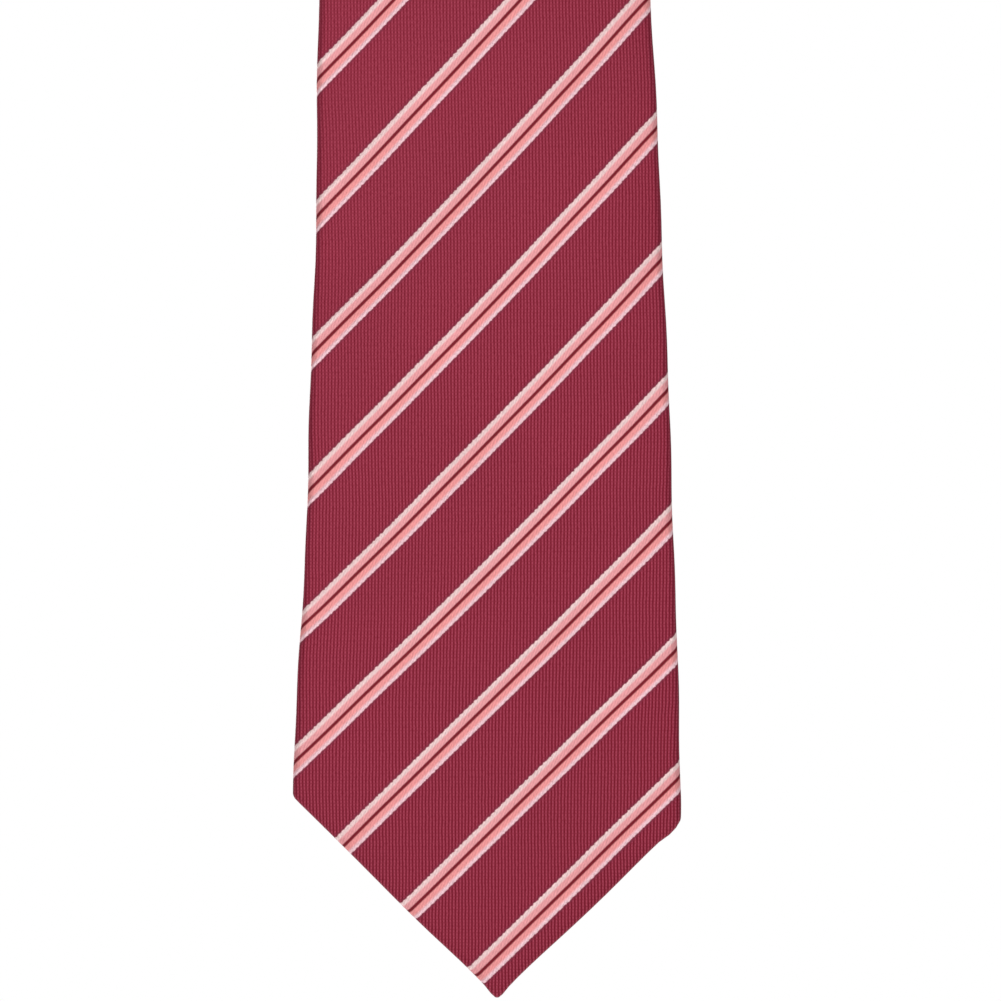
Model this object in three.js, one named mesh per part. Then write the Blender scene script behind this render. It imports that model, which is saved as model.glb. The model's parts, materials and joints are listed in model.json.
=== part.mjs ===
// A gentleman's necktie, hung over a bar by the middle of its neck.
//
// Units are millimetres. Every piece is described on the tie itself and then hung:
//   s  distance along the tie's centre line, from the tip of the wide front blade
//   x  distance across the tie, the same direction as the row frame's +X
//   n  height above the middle of the interlining, positive towards the face
// The frame's origin is the axis of the bar. The front blade hangs at -Y with its
// face towards -Y, and the narrow tail hangs behind it with its face towards +Y.

import * as THREE from "three";

// ---------------------------------------------------------------- sizes

const LENGTH = 1470; // tip to tip along the centre line
const FRONT_DROP = 880; // front tip to the bar's axis
const BAR_RADIUS = 5; // the bar or peg that the neck hangs over
const BAR_CLEARANCE = 0.3;

// Finished widths, each at its distance from the front tip.
const WIDTHS = [
  { s: 45, width: 89.4 }, // 88.9, or 3.5 inches, once the shoulders are rounded
  { s: 137, width: 81.9 },
  { s: 230, width: 75.7 },
  { s: 470, width: 61 },
  { s: 740, width: 46.5 },
  { s: 880, width: 39 },
  { s: 1110, width: 36.5 },
  { s: 1449, width: 41 },
];

// The two pointed ends. Distances are from the end's own tip.
const FRONT_END = {
  tipShift: 2.2, // how far the tip stands off the centre line
  leftShoulder: 46,
  rightShoulder: 40.5,
  flapsMeet: 118, // where the two back flaps meet
  hem: 7, // turned-in cloth along the pointed edges
  lining: 190, // how far the tipping reaches
  tack: 128,
};
const TAIL_END = {
  tipShift: 0,
  leftShoulder: 20.5,
  rightShoulder: 20.5,
  flapsMeet: 52,
  hem: 5,
  lining: 105,
  tack: 62,
};
const CORNER_SOFTNESS = 1.6; // rounding of the shoulder corners

// Where the sewn lengths meet, each a hinge line across the tie.
const FRONT_SEAM = 740;
const TAIL_SEAM = 1110;

// The layers, face to back.
const CLOTH = 0.5;
const WOOL = 1.0; // interlining
const LINING = 0.25; // tipping
const PLY_GAP = 0.3; // between neighbouring layers
const THREAD = 0.5; // sewing thread's diameter
const INNER_INSET = 2.2; // interlining and tipping stop this far inside the edge

// The centre back seam: the right flap laps over the left one.
const OVER_EDGE = -1; // x of the over flap's edge
const UNDER_EDGE = 7; // x of the under flap's edge, beneath the other
const LAP_STEP = 3; // width of the step where the over flap climbs

// The self-fabric loop that keeps the tail behind the front blade.
const KEEPER = { s: 186, height: 14, inside: 45, foot: 5, clear: 5.3, cloth: 0.9, ramp: 1.5 };

// The care label, sewn along its top edge and free to lift.
const LABEL = { s: 182, width: 24, length: 30, cloth: 0.4, gap: 0.6 };

// ---------------------------------------------------------------- the layer heights

const half = WOOL / 2;
const faceIn = half + PLY_GAP;
const faceOut = faceIn + CLOTH;
const liningIn = -(half + PLY_GAP);
const liningOut = liningIn - LINING;
const flapIn = liningOut - PLY_GAP;
const flapOut = flapIn - CLOTH;
const lapIn = flapOut - PLY_GAP;
const lapOut = lapIn - CLOTH;
const lapRise = flapOut - lapOut;

const faceMid = (faceIn + faceOut) / 2;
const flapMid = (flapIn + flapOut) / 2;
const rollRadius = (faceMid - flapMid) / 2; // the folded side edge, at the cloth's middle
const rollCentre = (faceMid + flapMid) / 2;
const rollOut = rollRadius + CLOTH / 2;

const innerBend = BAR_RADIUS + BAR_CLEARANCE;
const bendRadius = innerBend - lapOut; // of the plane n = 0
const backStart = FRONT_DROP + Math.PI * bendRadius;

// ---------------------------------------------------------------- hanging the tie

// The point of the row frame at (s, x, n).
function place(s, x, n) {
  const radius = bendRadius + n;
  if (s <= FRONT_DROP) return new THREE.Vector3(x, -radius, s - FRONT_DROP);
  if (s >= backStart) return new THREE.Vector3(x, radius, backStart - s);
  const turn = (s - FRONT_DROP) / bendRadius;
  return new THREE.Vector3(x, -radius * Math.cos(turn), radius * Math.sin(turn));
}

const mix = (a, b, t) => a + (b - a) * t;
const clamp01 = (t) => Math.min(1, Math.max(0, t));
const smooth = (t) => clamp01(t) ** 2 * (3 - 2 * clamp01(t));

// The smaller of two lengths, with the corner between them rounded.
const softMin = (a, b) => (a + b - Math.hypot(a - b, CORNER_SOFTNESS)) / 2;

// Finished width at s: a smooth curve through WIDTHS.
function widthAt(s) {
  const last = WIDTHS.length - 1;
  const slope = (i) => {
    const [a, b] = [WIDTHS[Math.max(i - 1, 0)], WIDTHS[Math.min(i + 1, last)]];
    return (b.width - a.width) / (b.s - a.s);
  };
  if (s <= WIDTHS[0].s) return WIDTHS[0].width;
  if (s >= WIDTHS[last].s) return WIDTHS[last].width;
  const i = WIDTHS.findIndex((w) => s < w.s) - 1;
  const [from, to] = [WIDTHS[i], WIDTHS[i + 1]];
  const span = to.s - from.s;
  const t = (s - from.s) / span;
  return (
    from.width * (1 + 2 * t) * (1 - t) ** 2 +
    slope(i) * span * t * (1 - t) ** 2 +
    to.width * t ** 2 * (3 - 2 * t) +
    slope(i + 1) * span * t ** 2 * (t - 1)
  );
}

// The end that s is nearer to, and the distance from that end's tip.
function endAt(s) {
  return s < LENGTH / 2
    ? { end: FRONT_END, along: s }
    : { end: TAIL_END, along: LENGTH - s };
}

// The left and right edges of the finished tie at s.
function edgesAt(s) {
  const { end, along } = endAt(s);
  const side = widthAt(s) / 2;
  const reach = (shoulder, shift) => softMin(side + shift, (along * (side + shift)) / shoulder);
  return {
    left: end.tipShift - reach(end.leftShoulder, end.tipShift),
    right: end.tipShift + reach(end.rightShoulder, -end.tipShift),
  };
}

// ---------------------------------------------------------------- lofted solids

// A closed solid through rings of [x, n] points, one ring at each s.
function loft(stations, ringAt) {
  const rings = stations.map((s) => ringAt(s));
  const count = rings[0].length;
  const corners = rings.flatMap((ring, i) => ring.map(([x, n]) => place(stations[i], x, n)));
  const faces = [];
  for (let i = 0; i + 1 < rings.length; i++)
    for (let j = 0; j < count; j++) {
      const [a, b] = [i * count + j, i * count + ((j + 1) % count)];
      faces.push([a, b, b + count], [a, b + count, a + count]);
    }
  const cap = (i, flip) => {
    const flat = rings[i].map(([x, n]) => new THREE.Vector2(x, n));
    for (const [a, b, c] of THREE.ShapeUtils.triangulateShape(flat, [])) {
      const [p, q, r] = [a, b, c].map((k) => k + i * count);
      faces.push(flip ? [p, r, q] : [p, q, r]);
    }
  };
  const clockwise = THREE.ShapeUtils.isClockWise(rings[0].map(([x, n]) => new THREE.Vector2(x, n)));
  cap(0, !clockwise);
  cap(rings.length - 1, clockwise);
  return outward(new THREE.BufferGeometry().setFromPoints(corners).setIndex(faces.flat()));
}

// The geometry with its faces pointing out, whichever way its rings ran.
function outward(geometry) {
  const [at, index] = [geometry.getAttribute("position"), geometry.getIndex()];
  const corner = (i) => new THREE.Vector3().fromBufferAttribute(at, index.getX(i));
  let volume = 0;
  for (let i = 0; i < index.count; i += 3)
    volume += corner(i).dot(corner(i + 1).cross(corner(i + 2)));
  if (volume < 0) geometry.setIndex(Array.from(index.array).reverse());
  return geometry;
}

// Distances from `from` to `to`, about `step` apart and finer round the bend.
function stations(from, to, step) {
  const bendSteps = 12;
  const inBend = (s) => s > FRONT_DROP && s < backStart;
  const marks = [from, FRONT_DROP, backStart, to].filter((s) => s >= from && s <= to);
  const list = [from];
  for (let i = 0; i + 1 < marks.length; i++) {
    const [a, b] = [marks[i], marks[i + 1]];
    const size = inBend((a + b) / 2) ? (Math.PI * bendRadius) / bendSteps : step;
    const parts = Math.max(1, Math.round((b - a) / size));
    for (let k = 1; k <= parts; k++) if (b > a) list.push(mix(a, b, k / parts));
  }
  return list;
}

// ---------------------------------------------------------------- the folded outer cloth

const ROLL_STEPS = 6; // facets round a folded side edge
const NARROWEST = 7; // the narrowest width that holds the whole folded section

// The closed section of the outer cloth at s: under flap, left edge, face, right
// edge, then the over flap, which climbs a step to lie on the under flap.
function clothRing(s) {
  const { end, along } = endAt(s);
  const edges = edgesAt(s);
  const width = edges.right - edges.left;
  const middle = (edges.left + edges.right) / 2;
  const shrink = Math.min(1, width / NARROWEST);
  const side = Math.max(width, NARROWEST) / 2;
  const [left, right] = [middle - side, middle + side];

  const shoulder = Math.max(end.leftShoulder, end.rightShoulder);
  const closed = clamp01((along - shoulder) / (end.flapsMeet - shoulder));
  const hem = Math.min(end.hem, side - PLY_GAP);
  const under = mix(left + hem, UNDER_EDGE, closed);
  const over = mix(right - hem, OVER_EDGE, closed);
  const rise = lapRise * smooth((closed - 0.5) / 0.3);
  const landing = right - rollOut - PLY_GAP / 2;
  const stepStart = Math.min(Math.max(under + LAP_STEP * 1.5, over + LAP_STEP), landing);
  const stepEnd = Math.min(Math.max(under + LAP_STEP / 2, over + PLY_GAP), stepStart - 0.1);

  const path = [{ x: under, n: flapMid, nx: 0, nn: -1 }];
  const roll = (centreX, fromAngle, toAngle) => {
    for (let i = 0; i <= ROLL_STEPS; i++) {
      const angle = mix(fromAngle, toAngle, i / ROLL_STEPS);
      const [nx, nn] = [Math.cos(angle), Math.sin(angle)];
      path.push({ x: centreX + rollRadius * nx, n: rollCentre + rollRadius * nn, nx, nn });
    }
  };
  roll(left + rollOut, 1.5 * Math.PI, 0.5 * Math.PI);
  path.push({ x: middle, n: faceMid, nx: 0, nn: 1 });
  roll(right - rollOut, 0.5 * Math.PI, -0.5 * Math.PI);
  path.push({ x: stepStart, n: flapMid, nx: 0, nn: -1 });
  path.push({ x: stepEnd, n: flapMid - rise, nx: 0, nn: -1 });
  path.push({ x: over, n: flapMid - rise, nx: 0, nn: -1 });

  const side1 = path.map((p) => [p.x + (p.nx * CLOTH) / 2, p.n + (p.nn * CLOTH) / 2]);
  const side2 = path.map((p) => [p.x - (p.nx * CLOTH) / 2, p.n - (p.nn * CLOTH) / 2]);
  return [...side1, ...side2.reverse()].map(([x, n]) => [
    middle + (x - middle) * shrink,
    rollCentre + (n - rollCentre) * shrink,
  ]);
}

// A flat layer inside the cloth, between two heights.
function layerRing(s, low, high) {
  const { left, right } = edgesAt(s);
  const [a, b] = [left + INNER_INSET, right - INNER_INSET];
  return [
    [a, low],
    [b, low],
    [b, high],
    [a, high],
  ];
}

// The distances that a pointed end needs: its tip, shoulders and flap edges.
function endStations(end) {
  const { leftShoulder: a, rightShoulder: b, flapsMeet } = end;
  const [low, high] = [Math.min(a, b), Math.max(a, b)];
  const tip = [0.6, 1.8, 4, 0.3 * low, 0.6 * low, 0.85 * low];
  const corner = [low - 2, low, low + 2, high + 0.5, high + 3];
  const flaps = [0.25, 0.5, 0.65, 0.8, 0.9, 1].map((t) => mix(high, flapsMeet, t));
  return [...tip, ...corner, ...flaps]
    .sort((p, q) => p - q)
    .filter((s, i, all) => i === 0 || s - all[i - 1] > 0.4);
}

const fromTail = (list) => list.map((along) => LENGTH - along).reverse();
const hingeGap = PLY_GAP / 2;

// ---------------------------------------------------------------- materials

const finish = (name, color, roughness) =>
  new THREE.MeshStandardMaterial({ name, color, roughness, metalness: 0 });
const materials = {
  repp: finish("striped_repp", 0x8f2f43, 0.55),
  wool: finish("interlining_wool", 0xd8d1c2, 0.95),
  lining: finish("tipping_satin", 0x7a2437, 0.4),
  thread: finish("sewing_thread", 0x98384c, 0.6),
  label: finish("label_satin", 0xf1eee8, 0.45),
};

const tie = new THREE.Group();

function add(name, material, geometry) {
  const mesh = new THREE.Mesh(geometry, material);
  mesh.name = name;
  tie.add(mesh);
  return mesh;
}

// ---------------------------------------------------------------- outer cloth

const STRAIGHT_STEP = 60;
const frontEnd = endStations(FRONT_END);
const tailEnd = fromTail(endStations(TAIL_END));

const frontStations = [
  ...frontEnd,
  ...stations(frontEnd.at(-1), FRONT_SEAM - hingeGap, STRAIGHT_STEP).slice(1),
];
const tailStations = [
  ...stations(TAIL_SEAM + hingeGap, tailEnd[0], STRAIGHT_STEP).slice(0, -1),
  ...tailEnd,
];
const neckStations = stations(FRONT_SEAM + hingeGap, TAIL_SEAM - hingeGap, STRAIGHT_STEP);

add("front_blade_shell", materials.repp, loft(frontStations, clothRing));
add("neck_shell", materials.repp, loft(neckStations, clothRing));
add("tail_blade_shell", materials.repp, loft(tailStations, clothRing));

// ---------------------------------------------------------------- interlining and tipping

const LAYER_TIP = 6; // the layers' own blunt tips, inside the cloth's
const within = (list, low, high) => [
  low,
  ...list.filter((s) => s > low + 0.5 && s < high - 0.5),
  high,
];
const woolRing = (s) => layerRing(s, -half, half);
const liningRing = (s) => layerRing(s, liningOut, liningIn);

const frontWool = within(frontStations, LAYER_TIP, FRONT_SEAM - hingeGap);
const tailWool = within(tailStations, TAIL_SEAM + hingeGap, LENGTH - LAYER_TIP);
add("front_interlining", materials.wool, loft(frontWool, woolRing));
add("neck_interlining", materials.wool, loft(neckStations, woolRing));
add("tail_interlining", materials.wool, loft(tailWool, woolRing));

const frontLining = within(frontStations, LAYER_TIP, FRONT_END.lining);
const tailLining = within(tailStations, LENGTH - TAIL_END.lining, LENGTH - LAYER_TIP);
add("front_tipping", materials.lining, loft(frontLining, liningRing));
add("tail_tipping", materials.lining, loft(tailLining, liningRing));

// ---------------------------------------------------------------- threads

const THREAD_SIDES = 6;

// A thread that lies at one x and n, from one distance to another.
function threadAlong(from, to, x, n) {
  const section = Array.from({ length: THREAD_SIDES }, (_, i) => {
    const angle = (2 * Math.PI * i) / THREAD_SIDES;
    return [x + (THREAD / 2) * Math.cos(angle), n + (THREAD / 2) * Math.sin(angle)];
  });
  return loft(stations(from, to, LENGTH), () => section);
}

// A thread, thick or thin, in a straight line between two points.
function threadBetween(from, to, radius) {
  const run = new THREE.Vector3().subVectors(to, from);
  const turn = new THREE.Quaternion().setFromUnitVectors(
    new THREE.Vector3(0, 1, 0),
    run.clone().normalize(),
  );
  const middle = from.clone().add(to).multiplyScalar(0.5);
  return new THREE.CapsuleGeometry(radius, run.length(), 3, 8)
    .applyQuaternion(turn)
    .translate(middle.x, middle.y, middle.z);
}

// The slip stitch: one long thread that closes the centre back seam.
const stitchX = OVER_EDGE - PLY_GAP - THREAD / 2;
const stitchN = flapOut - PLY_GAP - THREAD / 2;
const SLIP_START = 14; // above the bar tack
const slipFront = FRONT_END.tack + SLIP_START;
const slipTail = LENGTH - TAIL_END.tack - SLIP_START;
const slip = (name, from, to) =>
  add(name, materials.thread, threadAlong(from, to, stitchX, stitchN));
slip("front_slip_stitch", slipFront, FRONT_SEAM - hingeGap);
slip("neck_slip_stitch", FRONT_SEAM + hingeGap, TAIL_SEAM - hingeGap);
slip("tail_slip_stitch", TAIL_SEAM + hingeGap, slipTail);

// The bar tacks that hold the flaps where they meet.
const TACK = { width: 8, radius: 0.6 };
function barTack(s) {
  const n = lapOut - PLY_GAP - TACK.radius;
  const x = OVER_EDGE + TACK.radius;
  return threadBetween(place(s, x, n), place(s, x + TACK.width, n), TACK.radius);
}
add("front_bar_tack", materials.thread, barTack(FRONT_END.tack));
add("tail_bar_tack", materials.thread, barTack(LENGTH - TAIL_END.tack));

// The hemming threads, on the tipping beside each pointed edge.
const HEM_GAP = 1.2; // from the hem's edge to the thread
function hemThread(end, side, distance) {
  const n = liningOut - PLY_GAP - THREAD / 2;
  const point = (share) => {
    const s = distance(share * Math.min(end.leftShoulder, end.rightShoulder));
    const { left, right } = edgesAt(s);
    const inward = end.hem + HEM_GAP;
    return place(s, side < 0 ? left + inward : right - inward, n);
  };
  return threadBetween(point(0.45), point(0.92), THREAD / 2);
}
for (const [side, word] of [
  [-1, "left"],
  [1, "right"],
]) {
  add(`front_hem_thread_${word}`, materials.thread, hemThread(FRONT_END, side, (d) => d));
  add(`tail_hem_thread_${word}`, materials.thread, hemThread(TAIL_END, side, (d) => LENGTH - d));
}

// The spare loop that the slip stitch ends in, hanging from the seam. Its route is
// a list of points on the tie: x, then the distance s.
const LOOP_ROUTE = [
  [-1.6, 141],
  [-1.7, 138.5],
  [-2.0, 136],
  [-2.6, 133.5],
  [-3.1, 131],
  [-3.3, 128.5],
  [-3.2, 126],
  [-3.4, 123.6],
  [-4.4, 121.9],
  [-6.0, 121.5],
  [-7.5, 122.3],
  [-8.1, 124.2],
  [-7.9, 126.7],
  [-7.2, 129.2],
  [-6.3, 131.6],
  [-5.4, 134],
  [-4.6, 136.3],
  [-4.0, 138.7],
];
const LOOP_SIDES = 8;
const LOOP_STEPS = 40;
function spareLoop() {
  const route = LOOP_ROUTE.map(([x, s]) => place(s, x, stitchN));
  const section = new THREE.Shape(
    Array.from({ length: LOOP_SIDES }, (_, i) => {
      const angle = (2 * Math.PI * i) / LOOP_SIDES;
      return new THREE.Vector2(Math.cos(angle), Math.sin(angle)).multiplyScalar(THREAD / 2);
    }),
  );
  const extrudePath = new THREE.CatmullRomCurve3(route);
  return new THREE.ExtrudeGeometry(section, { steps: LOOP_STEPS, extrudePath });
}
add("front_slack_loop", materials.thread, spareLoop());

// ---------------------------------------------------------------- keeper loop and label

// An outline in (x, n) swept along the tie, from s upwards.
function sweptAlong(outline, s, height) {
  const shape = new THREE.Shape(outline.map(([x, n]) => new THREE.Vector2(x, n)));
  const toRow = new THREE.Matrix4().makeBasis(
    new THREE.Vector3(1, 0, 0),
    new THREE.Vector3(0, -1, 0),
    new THREE.Vector3(0, 0, -1),
  );
  const start = place(s + height, 0, 0);
  return new THREE.ExtrudeGeometry(shape, { depth: height, bevelEnabled: false })
    .applyMatrix4(toRow)
    .translate(start.x, start.y, start.z);
}

// The keeper's strap: two feet on the flaps and a bow between them.
function keeperOutline() {
  const { inside, foot, clear, cloth, ramp } = KEEPER;
  const footIn = flapOut - PLY_GAP;
  const bowIn = lapOut - clear;
  const inner = inside / 2;
  const rightHalf = [
    [inner + cloth + foot, footIn],
    [inner, footIn],
    [inner, bowIn + ramp],
    [inner - ramp, bowIn],
  ];
  const outerHalf = [
    [inner - ramp + 0.4 * cloth, bowIn - cloth],
    [inner + cloth, bowIn + ramp - 0.4 * cloth],
    [inner + cloth, footIn - cloth],
    [inner + cloth + foot, footIn - cloth],
  ];
  const mirrored = (list) => list.map(([x, n]) => [-x, n]).reverse();
  return [...rightHalf, ...mirrored(rightHalf), ...mirrored(outerHalf), ...outerHalf];
}
add("keeper_loop", materials.repp, sweptAlong(keeperOutline(), KEEPER.s, KEEPER.height));

// The stitches that hold the keeper's feet down.
const KEEPER_STITCH_MARGIN = 1.5;
function keeperStitch(side) {
  const x = side * (KEEPER.inside / 2 + KEEPER.cloth + KEEPER.foot / 2);
  const n = flapOut - PLY_GAP - KEEPER.cloth - PLY_GAP - THREAD / 2;
  const low = KEEPER.s + KEEPER_STITCH_MARGIN;
  const high = KEEPER.s + KEEPER.height - KEEPER_STITCH_MARGIN;
  return threadBetween(place(low, x, n), place(high, x, n), THREAD / 2);
}
add("keeper_stitch_left", materials.thread, keeperStitch(-1));
add("keeper_stitch_right", materials.thread, keeperStitch(1));

// The label lies on the over flap and hangs from the stitches along its top edge.
function labelPanel() {
  const top = place(LABEL.s, 0, lapOut - PLY_GAP);
  return new THREE.BoxGeometry(LABEL.width, LABEL.cloth, LABEL.length).translate(
    top.x,
    top.y + LABEL.cloth / 2,
    top.z - LABEL.length / 2,
  );
}
add("care_label", materials.label, labelPanel());

function labelStitch() {
  const reach = LABEL.width / 2 - THREAD;
  const s = LABEL.s + LABEL.gap + THREAD / 2;
  const n = lapOut - PLY_GAP - THREAD / 2;
  return threadBetween(place(s, -reach, n), place(s, reach, n), THREAD / 2);
}
add("care_label_stitch", materials.thread, labelStitch());

export default tie;
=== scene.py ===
"""A gentleman's striped necktie, hung over a bar by the middle of its neck.

Every piece is drawn on the flat, finished tie and then hung:

    x  distance across the tie, the row frame's X
    s  distance along its centre line, from the tip of the wide front blade
    n  height above the middle of the interlining, positive towards the face

Two more places are measured in the same way. The distance a is that along from the
tip of one end, and u and v are the distances across and along on the flat cut of a
cloth, before it is folded.

The outer cloth is a folded sheet. Its UV map holds the flat cut, in metres, so the
stripes and the weave run round the folds as they do on real cloth.
"""

import json  # noqa: E402
import logging  # noqa: E402
import math  # noqa: E402
from dataclasses import dataclass, field  # noqa: E402
from enum import Enum  # noqa: E402
from typing import Any  # noqa: E402

import bmesh  # noqa: E402
import bpy  # noqa: E402
import numpy as np  # noqa: E402
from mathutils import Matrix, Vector  # noqa: E402


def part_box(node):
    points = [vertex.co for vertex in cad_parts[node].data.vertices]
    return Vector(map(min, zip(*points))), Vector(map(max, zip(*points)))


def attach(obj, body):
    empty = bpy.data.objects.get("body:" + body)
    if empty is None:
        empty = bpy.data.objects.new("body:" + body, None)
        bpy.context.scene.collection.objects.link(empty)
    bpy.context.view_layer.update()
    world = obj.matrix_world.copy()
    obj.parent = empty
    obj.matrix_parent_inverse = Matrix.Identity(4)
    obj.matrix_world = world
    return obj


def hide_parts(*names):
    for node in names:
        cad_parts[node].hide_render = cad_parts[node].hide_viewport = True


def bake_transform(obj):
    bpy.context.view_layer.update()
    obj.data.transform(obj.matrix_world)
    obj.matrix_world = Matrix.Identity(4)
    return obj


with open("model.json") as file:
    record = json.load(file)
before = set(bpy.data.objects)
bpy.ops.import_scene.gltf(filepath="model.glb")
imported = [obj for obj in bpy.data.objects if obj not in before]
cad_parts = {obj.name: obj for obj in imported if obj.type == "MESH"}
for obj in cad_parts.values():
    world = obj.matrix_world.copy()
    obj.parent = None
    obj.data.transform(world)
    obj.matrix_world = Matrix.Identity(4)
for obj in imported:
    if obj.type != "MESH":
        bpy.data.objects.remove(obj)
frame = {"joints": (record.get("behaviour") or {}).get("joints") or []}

LOG = logging.getLogger("necktie")
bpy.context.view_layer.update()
MM = 0.001
UV_NAME = "cut"  # the flat cut of each cloth, in metres
STRIPE = "stripe"  # the stripe number at each point of the outer cloth


def smooth(t: np.ndarray | float) -> np.ndarray | float:
    """Ease t from 0 to 1."""
    t = np.clip(t, 0.0, 1.0)
    return t * t * (3 - 2 * t)


def mix(a: Any, b: Any, t: Any) -> Any:
    """The value a share t of the way from a to b."""
    return a + (b - a) * t


# ---------------------------------------------------------------- the tie's measures


class Body(Enum):
    """The rigid bodies that the pieces ride on."""

    NECK = "neck"
    FRONT = "front_blade"
    TAIL = "tail_blade"


class Slot(Enum):
    """The record's material slots."""

    REPP = "striped_repp"
    WOOL = "interlining_wool"
    SATIN = "tipping_satin"
    THREAD = "sewing_thread"
    RIBBON = "label_satin"


@dataclass(frozen=True)
class Layers:
    """Heights and thicknesses of the layers, each height that of its layer's middle."""

    cloth: float = 0.35 * MM
    wool: float = 0.9 * MM
    satin: float = 0.14 * MM
    face: float = 1.05 * MM
    lining: float = -0.92 * MM
    flap: float = -1.6 * MM
    lap: float = -2.4 * MM
    turned: float = 0.38 * MM  # from a flap to its own turned-in edge
    face_out: float = 1.3 * MM  # the CAD cloth's outer face

    @property
    def roll(self) -> float:
        """Radius of a folded side edge, at the cloth's middle."""
        return (self.face - self.flap) / 2

    @property
    def roll_centre(self) -> float:
        """Height of a folded edge's centre."""
        return (self.face + self.flap) / 2


LAYERS = Layers()


@dataclass(frozen=True)
class PointedEnd:
    """One pointed end of the tie. Distances along are from the end's own tip."""

    tip_x: float
    tip: float
    left: float
    right: float
    flaps_meet: float
    hem: float
    round_left: float
    round_right: float
    round_tip: float
    hollow: float = 0.5 * MM  # how much the pointed edges draw in near the tip
    hollow_from: float = 5 * MM
    hollow_middle: float = 9 * MM
    hollow_reach: float = 12 * MM
    puff_left: float = 0.0  # how much they stand out beside each shoulder
    puff_right: float = 0.0
    puff_middle: float = 3.2 * MM  # measured from the shoulder
    puff_reach: float = 2.2 * MM

    def slant(self, sign: int, from_tail: bool) -> tuple[np.ndarray, np.ndarray]:
        """Find one of the two pointed edges, with its corners still sharp.

        Args:
            sign: -1 for the left edge and 1 for the right one.
            from_tail: Whether this is the tail's end.

        Returns:
            The tip, and the vector from there to the shoulder.
        """
        low = self.left if sign < 0 else self.right
        at = TIE.length - low if from_tail else low
        tip = np.array([self.tip_x, self.tip])
        return tip, np.array([sign * float(TIE.half_width(np.array(at))), low]) - tip


FRONT_END = PointedEnd(
    tip_x=2.3 * MM,
    tip=-0.5 * MM,
    left=46 * MM,
    right=40.4 * MM,
    flaps_meet=118 * MM,
    hem=6 * MM,
    round_left=1.1 * MM,
    round_right=1.0 * MM,
    round_tip=1.5 * MM,
    puff_right=0.5 * MM,
)
TAIL_END = PointedEnd(
    tip_x=0.0,
    tip=-0.3 * MM,
    left=20.5 * MM,
    right=20.5 * MM,
    flaps_meet=52 * MM,
    hem=4.5 * MM,
    round_left=1.5 * MM,
    round_right=1.5 * MM,
    round_tip=1.2 * MM,
)


@dataclass(frozen=True)
class Wave:
    """One small wave of the hanging cloth, a sine of the place on the flat tie."""

    height: float
    along: float  # the length of one radian along the tie
    across: float = math.inf  # and across it
    phase: float = 0.0

    def at(self, x: np.ndarray, s: np.ndarray) -> np.ndarray:
        """Its height at points of the flat tie."""
        return self.height * np.sin(s / self.along + x / self.across + self.phase)


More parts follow.
